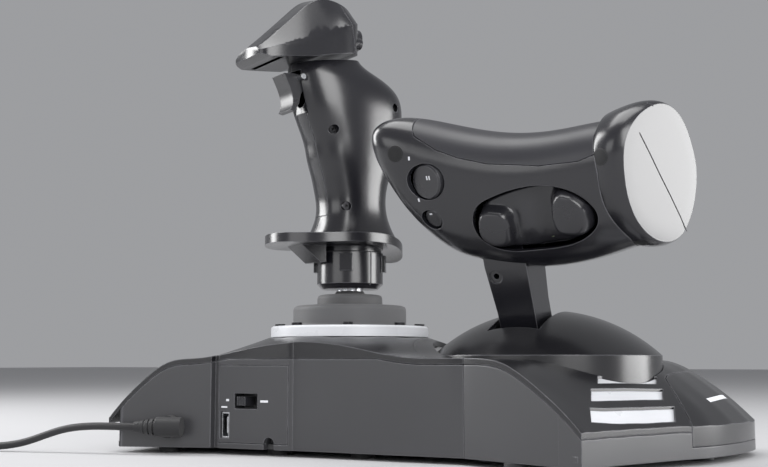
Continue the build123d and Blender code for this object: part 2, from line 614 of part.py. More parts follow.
# (y, half width, top, half width of the roof flat, its height, crease height, bottom)
HEAD_TAB = [
    (2.0, 8.0, 229.5, 4.0, 229.2, 227.6, 211.4), (4.5, 13.5, 234.2, 7.5, 233.2, 227.4, 210.4),
    (8.0, 17.5, 236.8, 9.5, 235.6, 226.4, 209.8), (13.0, 20.0, 239.0, 11.0, 237.2, 224.2, 208.8),
    (20.0, 20.4, 240.4, 11.5, 238.4, 220.6, 207.2), (27.0, 20.3, 239.8, 12.0, 237.6, 217.6, 205.8),
    (34.0, 20.0, 236.6, 12.2, 234.2, 214.6, 203.8), (42.0, 19.4, 229.2, 12.2, 226.8, 211.6, 201.4),
    (49.6, 18.6, 221.8, 12.0, 219.4, 208.9, 199.8), (56.0, 17.4, 215.6, 11.4, 213.2, 206.8, 200.2),
    (61.0, 15.6, 210.9, 10.4, 208.8, 205.0, 201.4), (64.0, 12.8, 208.0, 8.8, 206.6, 204.4, 202.4)]


def grip_section(z, front, rear, half_width, inset):
    middle = max(0.0, min(10.0, (z - 190.0) * 0.7))    # the upper sections shift forward
    points = []
    for i in range(16):
        angle = 2 * math.pi * i / 16
        reach = front - middle - inset if math.cos(angle) > 0 else rear + middle - inset
        points.append(((half_width - inset) * signed_power(math.sin(angle), 0.88),
                       middle + reach * signed_power(math.cos(angle), 0.88), z))
    return make_face(Spline(*points, periodic=True)).face()


def grip_loft(inset, rows):
    return loft([grip_section(*row, inset) for row in rows])


def head_section(row, inset):
    y, half_width, top, roof_half, roof_z, crease_z, bottom = row
    side = half_width - inset
    roof = roof_half - inset * 0.3
    crease = crease_z - inset * 0.3
    points = [(-side, bottom + inset), (-side, crease), (-roof, roof_z - inset),
              (0, top - inset), (roof, roof_z - inset), (side, crease), (side, bottom + inset)]
    return make_face(Polyline(*[(x, y, z) for x, z in points], close=True)).face()


def head_hollow(inset):
    """Room inside the head: starts inset further forward and stops two stations short."""
    first = (HEAD_TAB[0][0] + inset,) + HEAD_TAB[0][1:]
    return loft([head_section(row, inset) for row in [first] + HEAD_TAB[1:-2]])


GRIP_OUTER = grip_loft(0.0, GRIP_TAB)
GRIP_INNER = grip_loft(GRIP_WALL, [row for row in GRIP_TAB if 118.0 <= row[0] <= 203.0])
HEAD_SHELL = loft([head_section(row, 0.0) for row in HEAD_TAB]) - head_hollow(2.4)
# the head and the grip halves meet along a slanted seam
ABOVE_SEAM = side_prism([(-20, 211.0), (80, 198.0), (80, 260), (-20, 260)], -40, 40)
BELOW_SEAM = side_prism([(-60, 100), (80, 100), (80, 197.7), (-20, 210.7), (-60, 214.2)], -40, 40)
TRIG_W = 6.4                        # half width of the trigger
TRIG_SLOT = TRIG_W + 0.6            # half width of its slot
TRIG_PIN_R, TRIG_PIN_Y, TRIG_PIN_Z = 1.5, 36.5, 194.8
GRIP_SCREWS = [(11.5, 128.0), (-14.0, 150.0), (20.0, 168.0), (-18.0, 184.0)]   # (y, z)
HUB_R, HUB_FLANGE_R = 12.9, 16.5
HAT_Z = 222.6
THUMB_BUTTONS = [("thumb_button_left", -12.2), ("thumb_button_right", 12.2)]   # name, x
THUMB_Z, THUMB_R = 217.0, 3.1


def save_grip(name, *shapes):
    save(name, *[GRIP * shape for shape in shapes])


def behind_plate_line(shift):
    """Space behind the slanted joint of the thumb plate."""
    outline = [(-20, 190), (5.6 - shift, 190), (16.2 - shift, 245), (-20, 245)]
    return side_prism(outline, -40, 40)


def front_strip_space(half_width, z0, z1):
    return side_prism([(5.0, z0), (60, z0), (60, z1), (5.0, z1)], -half_width, half_width)


def grip_half(shells, left):
    """One side of the grip with its screw posts and trigger lug."""
    half = largest(shells & (box(-60, -0.12, -60, 80, 100, 260) if left
                             else box(0.12, 60, -60, 80, 100, 260)))
    for y, z in GRIP_SCREWS:
        half = half + (rod_x(3.0, -24 if left else 0.12, y, z, 23.88) & GRIP_OUTER)
    for y, z in GRIP_SCREWS:
        if left:    # heads sink in from the left
            half = half - rod_x(2.4, -30, y, z, 18.5) - rod_x(1.35, -30, y, z, 40)
        else:
            half = half - rod_x(1.3, -1, y, z, 9.0)
    half = half - rod_x(TRIG_PIN_R, -11.0, TRIG_PIN_Y, TRIG_PIN_Z, 22.0)
    x0, x1 = (-11.6, -TRIG_SLOT) if left else (TRIG_SLOT, 11.6)
    lug = ((box(x0, x1, 32.0, 40.0, 190.5, 198.8) & GRIP_OUTER)
           - rod_x(TRIG_PIN_R, -20.0, TRIG_PIN_Y, TRIG_PIN_Z, 40.0))
    return largest(half + lug)


def build_grip_shells():
    trigger_slot = side_prism([(31.0, 174.5), (60, 172.0), (60, 197.2), (32.5, 199.4)],
                              -TRIG_SLOT, TRIG_SLOT)
    shells = (GRIP_OUTER & BELOW_SEAM) - GRIP_INNER - trigger_slot
    shells = shells - front_strip_space(5.3, 123.2, 177.3)
    shells = (shells - cyl(HUB_R + 0.02, 100, 118.9)
              - cyl(HUB_FLANGE_R + 0.02, 113.18, 116.22))
    save_grip("grip_shell_left", grip_half(shells, True))
    save_grip("grip_shell_right", grip_half(shells, False))
    strip = (GRIP_OUTER - GRIP_INNER) & front_strip_space(5.0, 123.5, 177.0)
    save_grip("grip_front_strip", largest(strip))


def build_grip_screws():
    save_grip("grip_screws", *[
        rod_x(2.2, -13.9, y, z, 2.4) + rod_x(1.25, -12.0, y, z, 19.5)
        - rod_x(0.9, -14.5, y, z, 1.6) for y, z in GRIP_SCREWS])


# flange that carries the side of the hand: (y, z) along its upper face
FLANGE_TOP = [(49.0, 112.4), (10.0, 112.6), (-6.0, 112.2), (-14.0, 111.0), (-22.0, 108.6),
              (-31.0, 104.2)]
FLANGE_T = 4.8


def flange_sheet(x0, x1):
    upper = Spline(*[(x0, y, z) for y, z in FLANGE_TOP])
    lower = Spline(*[(x0, y, z - FLANGE_T) for y, z in FLANGE_TOP])
    front = Line(upper @ 0, lower @ 0)
    rear = Line(upper @ 1, lower @ 1)
    wire = Wire([line.edges()[0] for line in (upper, rear, lower, front)])
    return extrude(make_face(wire), amount=x1 - x0, dir=(1, 0, 0))


def build_hand_flange():
    """Flange joined to the hub that turns on the shaft."""
    oval = extrude(Pos(0, 10.0, 90.0) * Ellipse(32.0, 38.5), amount=40)
    flange = flange_sheet(-34, 34) & oval
    flange = flange - cyl(13.0, 90, 130) - cyl(17.6, 112.7, 130)
    flange = flange + tube(16.9, HUB_R, 104.6, 107.4)
    flange = flange + side_prism([(19.9, 98.4), (23.6, 98.4), (36.0, 107.9), (19.9, 108.0)],
                                 -7.5, 7.5)
    flange = flange - box(-40, 40, 29.4, 29.9, 112.1, 114)    # fine groove across the front
    hub = (tube(HUB_R, SHAFT_R + RUN, 104.4, 118.8)
           + tube(HUB_FLANGE_R, SHAFT_R + RUN, 113.2, 116.2) - cyl(9.6, 116.9, 125))
    save_grip("hand_flange", largest(flange + hub))


# (y, z) of the trigger's side view
TRIG_FRONT = [(45.6, 196.2), (43.2, 191.5), (40.9, 186.0), (40.2, 181.5), (41.6, 177.2)]
TRIG_REAR = [(41.6, 177.2), (39.0, 176.6), (36.6, 181.0), (35.6, 186.0), (33.0, 190.5),
             (33.0, 196.2), (40.0, 196.6), (45.6, 196.2)]


def build_trigger():
    front = Spline(*[(0, y, z) for y, z in TRIG_FRONT])
    rear = Polyline(*[(0, y, z) for y, z in TRIG_REAR])
    face = make_face(Wire(list(front.edges()) + list(rear.edges())))
    trigger = (extrude(face, amount=TRIG_W, dir=(1, 0, 0))
               + extrude(face, amount=TRIG_W, dir=(-1, 0, 0)))
    trigger = trigger - rod_x(TRIG_PIN_R + RUN, -20, TRIG_PIN_Y, TRIG_PIN_Z, 40)
    save_grip("trigger", largest(trigger))
    save_grip("trigger_pin", rod_x(TRIG_PIN_R, -11.0, TRIG_PIN_Y, TRIG_PIN_Z, 22.0))


def build_head():
    """Cap, and the plate that forms the rear face with its openings."""
    head = HEAD_SHELL & ABOVE_SEAM
    save_grip("head_cap", largest(head - behind_plate_line(0.0)))
    plate = largest(head & behind_plate_line(0.3))
    plate = plate - rod_y(6.6, 0, -10, HAT_Z, 30)
    for name, x in THUMB_BUTTONS:
        plate = plate - rod_y(THUMB_R + 0.25, x, -10, THUMB_Z, 26)
        button = rod_y(THUMB_R, x, 2.2, THUMB_Z, 9.5)
        save_grip(name, button + rod_y(THUMB_R + 0.7, x, 11.2, THUMB_Z, 0.8))
    save_grip("thumb_plate", largest(plate))


def build_hat():
    hat = (rod_y(2.4, 0, -2.0, HAT_Z, 5.5) + rod_y(6.2, 0, -3.6, HAT_Z, 2.6)
           + rod_y(4.6, 0, -4.6, HAT_Z, 1.2))
    for i in range(4):      # notches around the face
        angle = math.radians(45 + 90 * i)
        x, z = 5.2 * math.cos(angle), HAT_Z + 5.2 * math.sin(angle)
        hat = hat - rod_y(1.0, x, -5.2, z, 2.0)
    hat = hat + box(-1.6, 1.6, 3.2, 9.0, HAT_Z - 1.6, HAT_Z + 1.6)
    save_grip("hat", hat - rod_x(0.8, -3, 7.0, HAT_Z, 6))


def build_hat_cross():
    """Square frame pinned to the hat across X and to its mount up and down."""
    cross = (box(-3.6, 3.6, 5.2, 8.8, HAT_Z - 3.6, HAT_Z + 3.6)
             - box(-2.0, 2.0, 3, 12, HAT_Z - 2.0, HAT_Z + 2.0))
    cross = cross + rod_x(0.75, -2.6, 7.0, HAT_Z, 5.2)
    for side in (1, -1):
        cross = cross + rod(0.9, (0, 7.0, HAT_Z + side * 3.5), (0, 0, side), 2.2)
    save_grip("hat_cross", cross)


def build_grip_board():
    mount = (box(-4.6, 4.6, 4.5, 13.5, HAT_Z + 4.0, HAT_Z + 5.6)
             + box(-4.6, 4.6, 4.5, 13.5, HAT_Z - 5.6, HAT_Z - 4.0)
             + box(-4.6, 4.6, 12.5, 13.9, HAT_Z - 5.6, HAT_Z + 5.6))
    mount = mount - rod(0.95, (0, 7.0, HAT_Z - 9), (0, 0, 1), 18)
    chips = box(-6, -1, 15.1, 16.7, 214, 219), box(2, 7, 15.1, 16.4, 214, 218)
    board = box(-10.5, 10.5, 13.7, 15.2, 211.8, 231.0)
    save_grip("grip_board", mount + board + chips[0] + chips[1])


# ------------------------------------------------------------------ throttle dome
DOME_SPHERE_R = (DOME_R ** 2 + DOME_H ** 2) / (2 * DOME_H)
SLOT_W = 27.0


def dome_point(radius, offset):
    """Profile point on the dome's sphere, grown by offset."""
    centre_z = DOME_Z0 + DOME_H - DOME_SPHERE_R
    return radius, 0, centre_z + math.sqrt((DOME_SPHERE_R + offset) ** 2 - radius * radius)


def build_dome():
    outer = ThreePointArc(dome_point(0, 0), dome_point(30, 0), dome_point(DOME_R, 0))
    inner = ThreePointArc(dome_point(DOME_R - 4.4, -2.4), dome_point(28, -2.4),
                          dome_point(0, -2.4))
    rim = Polyline(
        outer @ 1, (DOME_R + 0.4, 0, DOME_Z0 - 0.4), (DOME_R + 0.4, 0, SKIRT_Z),
        (DOME_R - 2.2, 0, SKIRT_Z), (DOME_R - 2.2, 0, DOME_Z0 - 3.0),
        (DOME_R - 4.4, 0, DOME_Z0 - 3.0), inner @ 0)
    axis_line = Line(inner @ 1, outer @ 0)
    wire = Wire([edge for line in (outer, rim, inner, axis_line) for edge in line.edges()])
    dome = Pos(THR_X, THR_Y, 0) * revolve(make_face(wire), axis=Axis.Z)
    slot_x = THR_X + ARM_X
    slot = box(slot_x - SLOT_W / 2, slot_x + SLOT_W / 2, THR_Y - 34.0, THR_Y + 38.5, 40, 90)
    save("throttle_dome", largest(dome - slot))


# ------------------------------------------------------------------ throttle lever
# lever frame: origin on the axle, Z up along the lever, Y forward
LEVER = Pos(THR_X, THR_Y, THR_Z) * Rot(-THR_LEAN, 0, 0)
ARM_CENTRE_X = THR_X + ARM_X


def wedge(r0, r1, a0, a1, x0, x1):
    """Sector around the axle, angles in degrees measured forward from the lever."""
    angles = [math.radians(a0 + (a1 - a0) * i / 14) for i in range(15)]
    outline = [(r1 * math.sin(angle), r1 * math.cos(angle)) for angle in angles]
    outline += [(r0 * math.sin(angle), r0 * math.cos(angle)) for angle in angles[::-1]]
    return side_prism(outline, x0, x1)


def drum(r0, r1, a0, a1, x0, x1):
    full = wheel(r1, x1 - x0) - wheel(r0, x1 - x0 + 2)
    full = Pos((x0 + x1) / 2, 0, 0) * full
    return full & wedge(2.0, r1 + 20, a0, a1, x0 - 1, x1 + 1)


def build_shutter():
    shutter = drum(DRUM_R - 1.8, DRUM_R, -70.0, 62.0, ARM_X - 17.0, ARM_X + 17.0)
    for side in (-1, 1):    # webs down to the arm's hub
        x = ARM_X + side * 12.4
        shutter = shutter + wedge(13.0, DRUM_R - 1.0, -6, 6, x - 1.0, x + 1.0)
    shutter = shutter - box(ARM_X - 10.6, ARM_X + 10.6, -14.0, 14.0, 40, 60)
    shutter = shutter - (Pos(ARM_X, 0, 0) * wheel(14.0, 60))
    save("slot_shutter", LEVER * largest(shutter))


# (z, width, depth) of the arm
ARM_TAB = [(10.0, 18.6, 19.0), (60.0, 19.2, 20.0), (84.0, 21.4, 24.0), (112.0, 21.0, 23.0)]


def build_arm():
    post = loft([Pos(ARM_X, 0, z) * Rectangle(width, depth) for z, width, depth in ARM_TAB],
                ruled=True)
    arm = post + (Pos(ARM_X, 0, 0) * wheel(12.0, 20.4))
    arm = arm - (Pos(ARM_X, 0, 0) * wheel(AXLE_R, 40))
    arm = arm - box(ARM_X - 6.5, ARM_X + 6.5, -6.5, 6.5, 64.0, 125.0)
    screw_start = (ARM_X + 6.2, 20, 79.0)
    arm = arm - rod(3.3, screw_start, (0, -1, 0), 9.5) - rod(1.5, screw_start, (0, -1, 0), 20)
    save("throttle_arm", LEVER * largest(arm))


def build_axle_parts():
    """Axle with a flat at its right end, its two brackets and the friction washers."""
    x, y, z = ARM_CENTRE_X, THR_Y, THR_Z
    axle = Pos(x, y, z) * wheel(AXLE_R, 58.0)
    save("throttle_axle", axle - box(x + 22, x + 30, y - 6, y + 6, z + 3.4, z + 6))
    brackets, washers = [], []
    for side in (-1, 1):
        x0, x1 = x + side * 20.6 - 1.8, x + side * 20.6 + 1.8
        bracket = box(x0, x1, y - 16, y + 16, 5.6, z + 9)
        foot = (x0 - 3, x1) if side < 0 else (x0, x1 + 3)
        bracket = bracket + box(*foot, y - 16, y + 16, 5.6, 8.0)
        brackets.append(bracket - Pos(x, y, z) * wheel(AXLE_R + RUN, 80))
        washers.append(Pos(x + side * 17.0, y, z) * (wheel(9.5, 3.0) - wheel(AXLE_R + RUN, 6)))
    save("lever_brackets", *brackets)
    save("friction_washers", *washers)


# ------------------------------------------------------------------ throttle handle, lever frame
# (x, middle height, half height, middle depth, half depth)
HANDLE_TAB = [
    (-60.0, 114.0, 29.0, -2.6, 21.4), (-48.0, 112.6, 30.6, -1.4, 22.2),
    (-34.0, 110.8, 31.4, -0.4, 22.4), (-18.0, 110.2, 31.9, 0.4, 22.4),
    (-2.0, 112.2, 32.2, 1.4, 22.2), (12.0, 116.0, 32.4, 2.6, 21.8),
    (24.0, 120.8, 32.0, 4.4, 21.0), (33.0, 126.8, 29.2, 6.6, 19.4),
    (40.5, 133.6, 24.2, 9.4, 16.8), (46.0, 139.8, 18.0, 11.6, 13.4),
    (50.0, 144.6, 11.8, 13.2, 9.6), (52.4, 147.6, 6.0, 14.2, 5.2)]
# (x, y) of the joint between the front and the rear half
HANDLE_SEAM = [(-70.0, -3.0), (-18.0, 0.2), (24.0, 4.6), (43.0, 9.6), (70.0, 18.0)]
# (x, z) of the recess for the soft pad on top, and of the pad in it
PAD_RECESS = [
    (-54.5, 200), (-54.5, 134.0), (-45.0, 131.4), (-27.0, 131.2), (-3.5, 134.4),
    (10.0, 138.6), (20.0, 143.4), (30.0, 150.5), (33.5, 158.0), (33.5, 200)]
PAD = [
    (-54.2, 200), (-54.2, 134.3), (-45.0, 131.7), (-27.0, 131.5), (-3.5, 134.7),
    (10.0, 138.9), (19.9, 143.7), (29.7, 150.7), (33.2, 158.1), (33.2, 200)]
# name, x, y, z of the face, radius, yaw and pitch in degrees
LENS_BUTTONS = [("lens_button_large", 25.6, 24.2, 130.0, 8.2, 14.0, 6.0),
                ("lens_button_small", 27.0, 21.2, 112.0, 5.0, 16.0, -14.0)]
# name, x, y, z of the inner end, pitch in degrees
THUMB_KEYS = [("thumb_key_upper", 30.0, -3.38, 140.0, 8.0),
              ("thumb_key_lower", 28.0, -4.82, 125.5, -2.0)]
# (x, z) of the rocker's opening
ROCKER = [
    (-49.0, 110.6), (-43.0, 117.6), (-32.0, 122.4), (-18.0, 123.0), (-4.0, 120.0),
    (4.0, 116.0), (7.6, 108.0), (5.0, 98.6), (-2.0, 93.6), (-18.0, 92.4), (-34.0, 93.6),
    (-45.0, 98.4), (-49.4, 104.0)]
ROCKER_X, ROCKER_Z, ROCKER_PIN_Y, ROCKER_PIN_R = -20.6, 108.0, 11.0, 1.5
# (y, z) around the broad oval end cap
CAP_OUTLINE = [
    (-27.6, 115.0), (-25.8, 128.0), (-20.6, 140.4), (-12.0, 147.6), (-2.0, 149.2),
    (8.4, 146.6), (16.8, 139.6), (20.8, 127.0), (21.0, 113.6), (17.6, 101.6), (10.6, 91.6),
    (0.6, 84.8), (-9.6, 84.0), (-18.4, 90.2), (-24.8, 101.0)]
CAP_X, CAP_Y, CAP_Z = -73.5, -3.0, 116.4
# (size, distance from the outer face along X, slant: X per Y) of the cap's sections
CAP_TAB = [(0.90, 20.0, 0.12), (0.965, 13.5, 0.25), (1.0, 7.5, 0.34), (0.99, 3.0, 0.40),
           (0.94, 0.0, 0.40)]


def save_handle(name, shape):
    """Scale a handle piece about the axle and set it at the lever's rest angle."""
    save(name, *[LEVER * scale(solid, by=HANDLE_SCALE) for solid in shape.solids()])


def handle_section(x, middle_z, half_z, middle_y, half_y, inset):
    points = []
    for i in range(16):
        angle = 2 * math.pi * i / 16
        c, s = math.cos(angle), math.sin(angle)
        points.append((x, middle_y + (half_y - inset) * signed_power(c, 0.86)
                       + 3.0 * s * (half_z / 32.0),
                       middle_z + (half_z - inset) * signed_power(s, 0.86)))
    return make_face(Spline(*points, periodic=True)).face()


def handle_loft(inset, rows):
    return loft([handle_section(*row, inset) for row in rows])


def cap_section(size, offset, slant):
    points = []
    for y, z in CAP_OUTLINE:
        dy = (y - CAP_Y) * size
        points.append((CAP_X + offset + dy * slant, CAP_Y + dy, CAP_Z + (z - CAP_Z) * size))
    return make_face(Spline(*points, periodic=True)).face()


def end_cap_solid():
    cap = loft([cap_section(*row) for row in CAP_TAB])
    # fine parting line across the face
    face_plane = Plane(origin=(CAP_X, -8.0, 116.5), x_dir=(0.0, -8.2, -62.0),
                       z_dir=(0.0, 62.0, -8.2))
    return cap - (face_plane * Box(74.0, 3.6, 0.4))


def handle_shell():
    """Hollow handle with the pad recess in its top."""
    rows = [(-57.4,) + HANDLE_TAB[0][1:]] + HANDLE_TAB[1:-2]
    shell = HANDLE_OUTER - handle_loft(2.6, rows)
    recess_floor = handle_loft(1.5, HANDLE_TAB[:-2])
    return shell - ((HANDLE_OUTER - recess_floor) & front_prism(PAD_RECESS, -60, 60))


HANDLE_OUTER = handle_loft(0.0, HANDLE_TAB)
HANDLE_SHELL = handle_shell()
END_CAP = end_cap_solid()
ARM_HOLE = loft([Pos(ARM_X, 0, z) * Rectangle(22.4, 25.2) for z in (60, 100)])


def half_space(side):
    """Space in front of (side 1) or behind (side -1) the handle seam."""
    seam = [(x, y + side * 0.12) for x, y in HANDLE_SEAM]
    return prism(seam + [(70, side * 60), (-70, side * 60)], 60, 180)


def clear_end_cap(body):
    return largest(body - END_CAP - Pos(0.3, 0, 0) * END_CAP)


def aim(yaw, pitch):
    """Direction turned by yaw from +Y towards +X and raised by pitch, in degrees."""
    yaw, pitch = math.radians(yaw), math.radians(pitch)
    return Vector(math.sin(yaw) * math.cos(pitch), math.cos(yaw) * math.cos(pitch),
                  math.sin(pitch))


def rocker_face(size, y):
    points = [(ROCKER_X + (x - ROCKER_X) * size, y, ROCKER_Z + (z - ROCKER_Z) * size)
              for x, z in ROCKER]
    return make_face(Spline(*points, periodic=True)).face()


def build_handle_front():
    """Front half, with the two round buttons that sit in it."""
    front = largest((HANDLE_SHELL & half_space(1)) - ARM_HOLE)
    for name, x, y, z, radius, yaw, pitch in LENS_BUTTONS:
        out = aim(yaw, pitch)
        face = Vector(x, y, z)
        start = face - out * 6.0
        front = front - rod(radius + 0.35, face - out * 10.0, out, 22)
        button = rod(radius, start, out, 7.4)
        circles = button.edges().filter_by(GeomType.CIRCLE)
        outer_rim = circles.sort_by(lambda edge: (edge.center() - start).length)[-1]
        button = chamfer(outer_rim, 0.8)
        save_handle(name, button + rod(radius + 0.9, face - out * 6.6, out, 0.9))
    front = largest(front - extrude(rocker_face(1.0, 5.0), amount=30, dir=(0, 1, 0)))
    save_handle("handle_front", clear_end_cap(front))


def build_handle_rear():
    """Rear half, with the thumb keys that sit in it."""
    rear = largest((HANDLE_SHELL & half_space(-1)) - ARM_HOLE)
    for name, x, y, z, pitch in THUMB_KEYS:
        out = aim(168.0, pitch)
        start = (x, y, z)
        rear = rear - rod(3.75, start, out, 24)
        save_handle(name, rod(3.5, start, out, 9.4) + rod(4.6, start, out, 1.0))
    save_handle("handle_rear", clear_end_cap(rear))


def build_pad_and_end_cap():
    pad = HANDLE_OUTER - handle_loft(1.4, HANDLE_TAB[:-2])
    save_handle("handle_pad", clear_end_cap(largest(pad & front_prism(PAD, -60, 60))))
    save_handle("handle_end_cap", END_CAP)


def build_rocker():
    rocker = (extrude(rocker_face(0.95, 14.0), amount=14, dir=(0, 1, 0))
              & (Pos(0, 0.6, 0) * HANDLE_OUTER))
    dish = Pos(ROCKER_X, 32.5, ROCKER_Z) * Rot(0, 0, 0) * Sphere(15.5)
    rocker = rocker - dish - box(-60, 20, 0, 13.9, 80, 140)
    rocker = rocker + box(-24.0, -17.2, 8.6, 14.2, 101.0, 115.0)
    bore = rod(ROCKER_PIN_R + RUN, (ROCKER_X, ROCKER_PIN_Y, 80), (0, 0, 1), 60)
    save_handle("rudder_rocker", largest(rocker - bore))


def build_handle_board():
    """Rocker bracket with its pin, and the circuit board around the arm."""
    pin = rod(ROCKER_PIN_R, (ROCKER_X, ROCKER_PIN_Y, 97.0), (0, 0, 1), 22.0)
    bracket = (box(-26, -15.2, 4.4, 13.6, 96.6, 99.8) + box(-26, -15.2, 4.4, 13.6, 116.2, 119.4)
               + box(-26, -15.2, 2.0, 4.6, 96.6, 119.4) + pin)
    board = (box(-44, 26, -3.6, -2.0, 102, 126)
             - box(ARM_X - 12, ARM_X + 12, -20, 20, 90, 113))
    save_handle("handle_board", bracket + box(-25, -16, -2.2, 2.2, 104, 112) + board
                + box(10, 18, -2.0, -0.6, 116, 122))


# ------------------------------------------------------------------ build everything
for build in (
        build_stick_shell, build_stick_cover, build_throttle_base, build_vent_inserts,
        build_base_screws, build_bottom_plates, build_tension_knob, build_base_contents,
        build_port, build_selector_slider, build_strain_relief, build_cable_and_plug,
        build_ring, build_boot, build_gimbal_housing, build_gimbal_frame,
        build_gimbal_carrier, build_sensors, build_shaft_and_collar, build_grip_shells,
        build_grip_screws, build_hand_flange, build_trigger, build_head, build_hat,
        build_hat_cross, build_grip_board, build_dome, build_shutter, build_arm,
        build_axle_parts, build_handle_front, build_handle_rear, build_pad_and_end_cap,
        build_rocker, build_handle_board):
    build()
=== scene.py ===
"""Flight stick and throttle: looks, floor, lights and camera around the CAD pieces.

The floor is z = 0 and +Y faces the camera. The stick's shaft stands on the Z axis;
the throttle lies on the -X side and its handle leans towards +Y.
Measured shapes are in mm and become metres where the vertices are made.
"""
import functools
import math

import bmesh
import bpy
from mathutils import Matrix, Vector
from mathutils.bvhtree import BVHTree


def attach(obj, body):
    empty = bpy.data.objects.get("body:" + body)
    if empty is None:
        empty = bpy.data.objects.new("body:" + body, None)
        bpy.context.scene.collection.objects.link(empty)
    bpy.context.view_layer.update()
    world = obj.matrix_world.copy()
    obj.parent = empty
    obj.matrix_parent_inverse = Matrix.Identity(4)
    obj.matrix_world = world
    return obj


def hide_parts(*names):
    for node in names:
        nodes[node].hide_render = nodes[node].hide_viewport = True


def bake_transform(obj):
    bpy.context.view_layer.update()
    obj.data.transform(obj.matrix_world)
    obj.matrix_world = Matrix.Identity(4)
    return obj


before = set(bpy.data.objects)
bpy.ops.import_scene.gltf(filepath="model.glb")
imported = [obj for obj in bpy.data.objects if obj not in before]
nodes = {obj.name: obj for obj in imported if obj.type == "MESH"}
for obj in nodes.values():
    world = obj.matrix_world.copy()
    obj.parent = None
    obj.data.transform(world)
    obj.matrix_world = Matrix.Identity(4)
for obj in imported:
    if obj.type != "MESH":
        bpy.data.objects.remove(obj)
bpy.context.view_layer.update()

scene = bpy.context.scene


# ------------------------------------------------------------------ materials
MOTTLE_SCALE = 9.0                  # noise scale of the colour mottling
SHEEN_SCALE = MOTTLE_SCALE * 2.3    # noise scale of the roughness variation
RUB_AND_GLINT_SCALE = 160.0                   # noise scale that breaks up the rubbed edges and their painted edge highlight


def new_material(name):
    material = bpy.data.materials.new(name)
    material.use_nodes = True
    material.node_tree.nodes.clear()
    return material, material.node_tree


def add_node(tree, kind, inputs=None, **props):
    node = tree.nodes.new(kind)
    for prop, value in props.items():
        setattr(node, prop, value)
    for socket, value in (inputs or {}).items():
        node.inputs[socket].default_value = value
    return node


def add_noise(tree, scale, detail):
    return add_node(tree, "ShaderNodeTexNoise", {"Scale": scale, "Detail": detail})


def surface(name, dark, light, rough, edge, edge_amount=0.35, bevel=0.0005, metallic=0.0,
            specular=0.5, coat=0.0, sheen=0.0, grain=2200.0, grain_height=0.000004,
            brushed=False):
    """Mottled base colour, fine grain, rubbed edges lightened partly as wear and partly as a
    painted edge highlight, and uneven roughness.

    bevel and grain_height are in metres; grain is a noise scale.
    """
    material, tree = new_material(name)
    link = tree.links.new
    output = add_node(tree, "ShaderNodeOutputMaterial")
    shader = add_node(tree, "ShaderNodeBsdfPrincipled", {
        "Metallic": metallic,
        "Specular IOR Level": specular,
        "Coat Weight": coat,
        "Coat Roughness": 0.2,
    })
    if sheen:
        shader.inputs["Sheen Weight"].default_value = sheen
        shader.inputs["Sheen Roughness"].default_value = 0.5
    link(shader.outputs[0], output.inputs[0])

    # mottled colour
    coords = add_node(tree, "ShaderNodeTexCoord")
    mottle = add_noise(tree, MOTTLE_SCALE, detail=5.0)
    link(coords.outputs["Object"], mottle.inputs["Vector"])
    ramp = add_node(tree, "ShaderNodeValToRGB")
    stops = ramp.color_ramp.elements
    stops[0].position = 0.32
    stops[1].position = 0.70
    stops[0].color = (*dark, 1)
    stops[1].color = (*light, 1)
    link(mottle.outputs["Fac"], ramp.inputs["Fac"])

    # rubbed edges: the lighter edge colour is partly wear and partly a painted edge highlight
    geometry = add_node(tree, "ShaderNodeNewGeometry")
    edge_mask = add_node(tree, "ShaderNodeMapRange")
    if bevel:
        # an edge is where the rounded normal leaves the face's own
        rounded = add_node(tree, "ShaderNodeBevel", {"Radius": bevel}, samples=4)
        facing = add_node(tree, "ShaderNodeVectorMath", operation="DOT_PRODUCT")
        link(rounded.outputs[0], facing.inputs[0])
        link(geometry.outputs["Normal"], facing.inputs[1])
        edge_from, edge_full, edge_source = 0.997, 0.90, facing.outputs["Value"]
    else:
        edge_from, edge_full, edge_source = 0.56, 0.66, geometry.outputs["Pointiness"]
    edge_mask.inputs["From Min"].default_value = edge_from
    edge_mask.inputs["From Max"].default_value = edge_full
    link(edge_source, edge_mask.inputs["Value"])
    rub_and_glint = add_noise(tree, RUB_AND_GLINT_SCALE, detail=4.0)
    link(coords.outputs["Object"], rub_and_glint.inputs["Vector"])
    broken = add_node(tree, "ShaderNodeMath", operation="MULTIPLY")
    link(edge_mask.outputs[0], broken.inputs[0])
    link(rub_and_glint.outputs["Fac"], broken.inputs[1])
    # doubled because the noise averages about one half
    amount = add_node(tree, "ShaderNodeMath", {1: edge_amount * 2.0}, operation="MULTIPLY")
    link(broken.outputs[0], amount.inputs[0])
    # colour mix: sockets 6 and 7 are the colours A and B
    mix = add_node(tree, "ShaderNodeMix", {7: (*edge, 1)}, data_type="RGBA")
    link(amount.outputs[0], mix.inputs["Factor"])
    link(ramp.outputs["Color"], mix.inputs[6])
    link(mix.outputs[2], shader.inputs["Base Color"])

    # uneven roughness
    patches = add_noise(tree, SHEEN_SCALE, detail=6.0)
    link(coords.outputs["Object"], patches.inputs["Vector"])
    roughness = add_node(tree, "ShaderNodeMapRange", {
        "From Min": 0.3, "From Max": 0.7, "To Min": rough[0], "To Max": rough[1]})
    link(patches.outputs["Fac"], roughness.inputs["Value"])
    link(roughness.outputs[0], shader.inputs["Roughness"])

    # grain, squeezed along Z when brushed
    grain_noise = add_noise(tree, grain, detail=3.0)
    grain_coords = coords.outputs["Object"]
    if brushed:
        stretch = add_node(tree, "ShaderNodeMapping", {"Scale": (1.0, 1.0, 14.0)})
        link(grain_coords, stretch.inputs["Vector"])
        grain_coords = stretch.outputs[0]
    link(grain_coords, grain_noise.inputs["Vector"])
    bump = add_node(tree, "ShaderNodeBump", {"Strength": 1.0, "Distance": grain_height})
    link(grain_noise.outputs["Fac"], bump.inputs["Height"])
    if bevel:
        link(rounded.outputs[0], bump.inputs["Normal"])
    link(bump.outputs[0], shader.inputs["Normal"])
    return material


DARK_EDGE_WEAR_AND_HIGHLIGHT = (0.34, 0.34, 0.37)      # rubbed edge of the dark plastics, lightened partly as wear and partly as a painted edge highlight
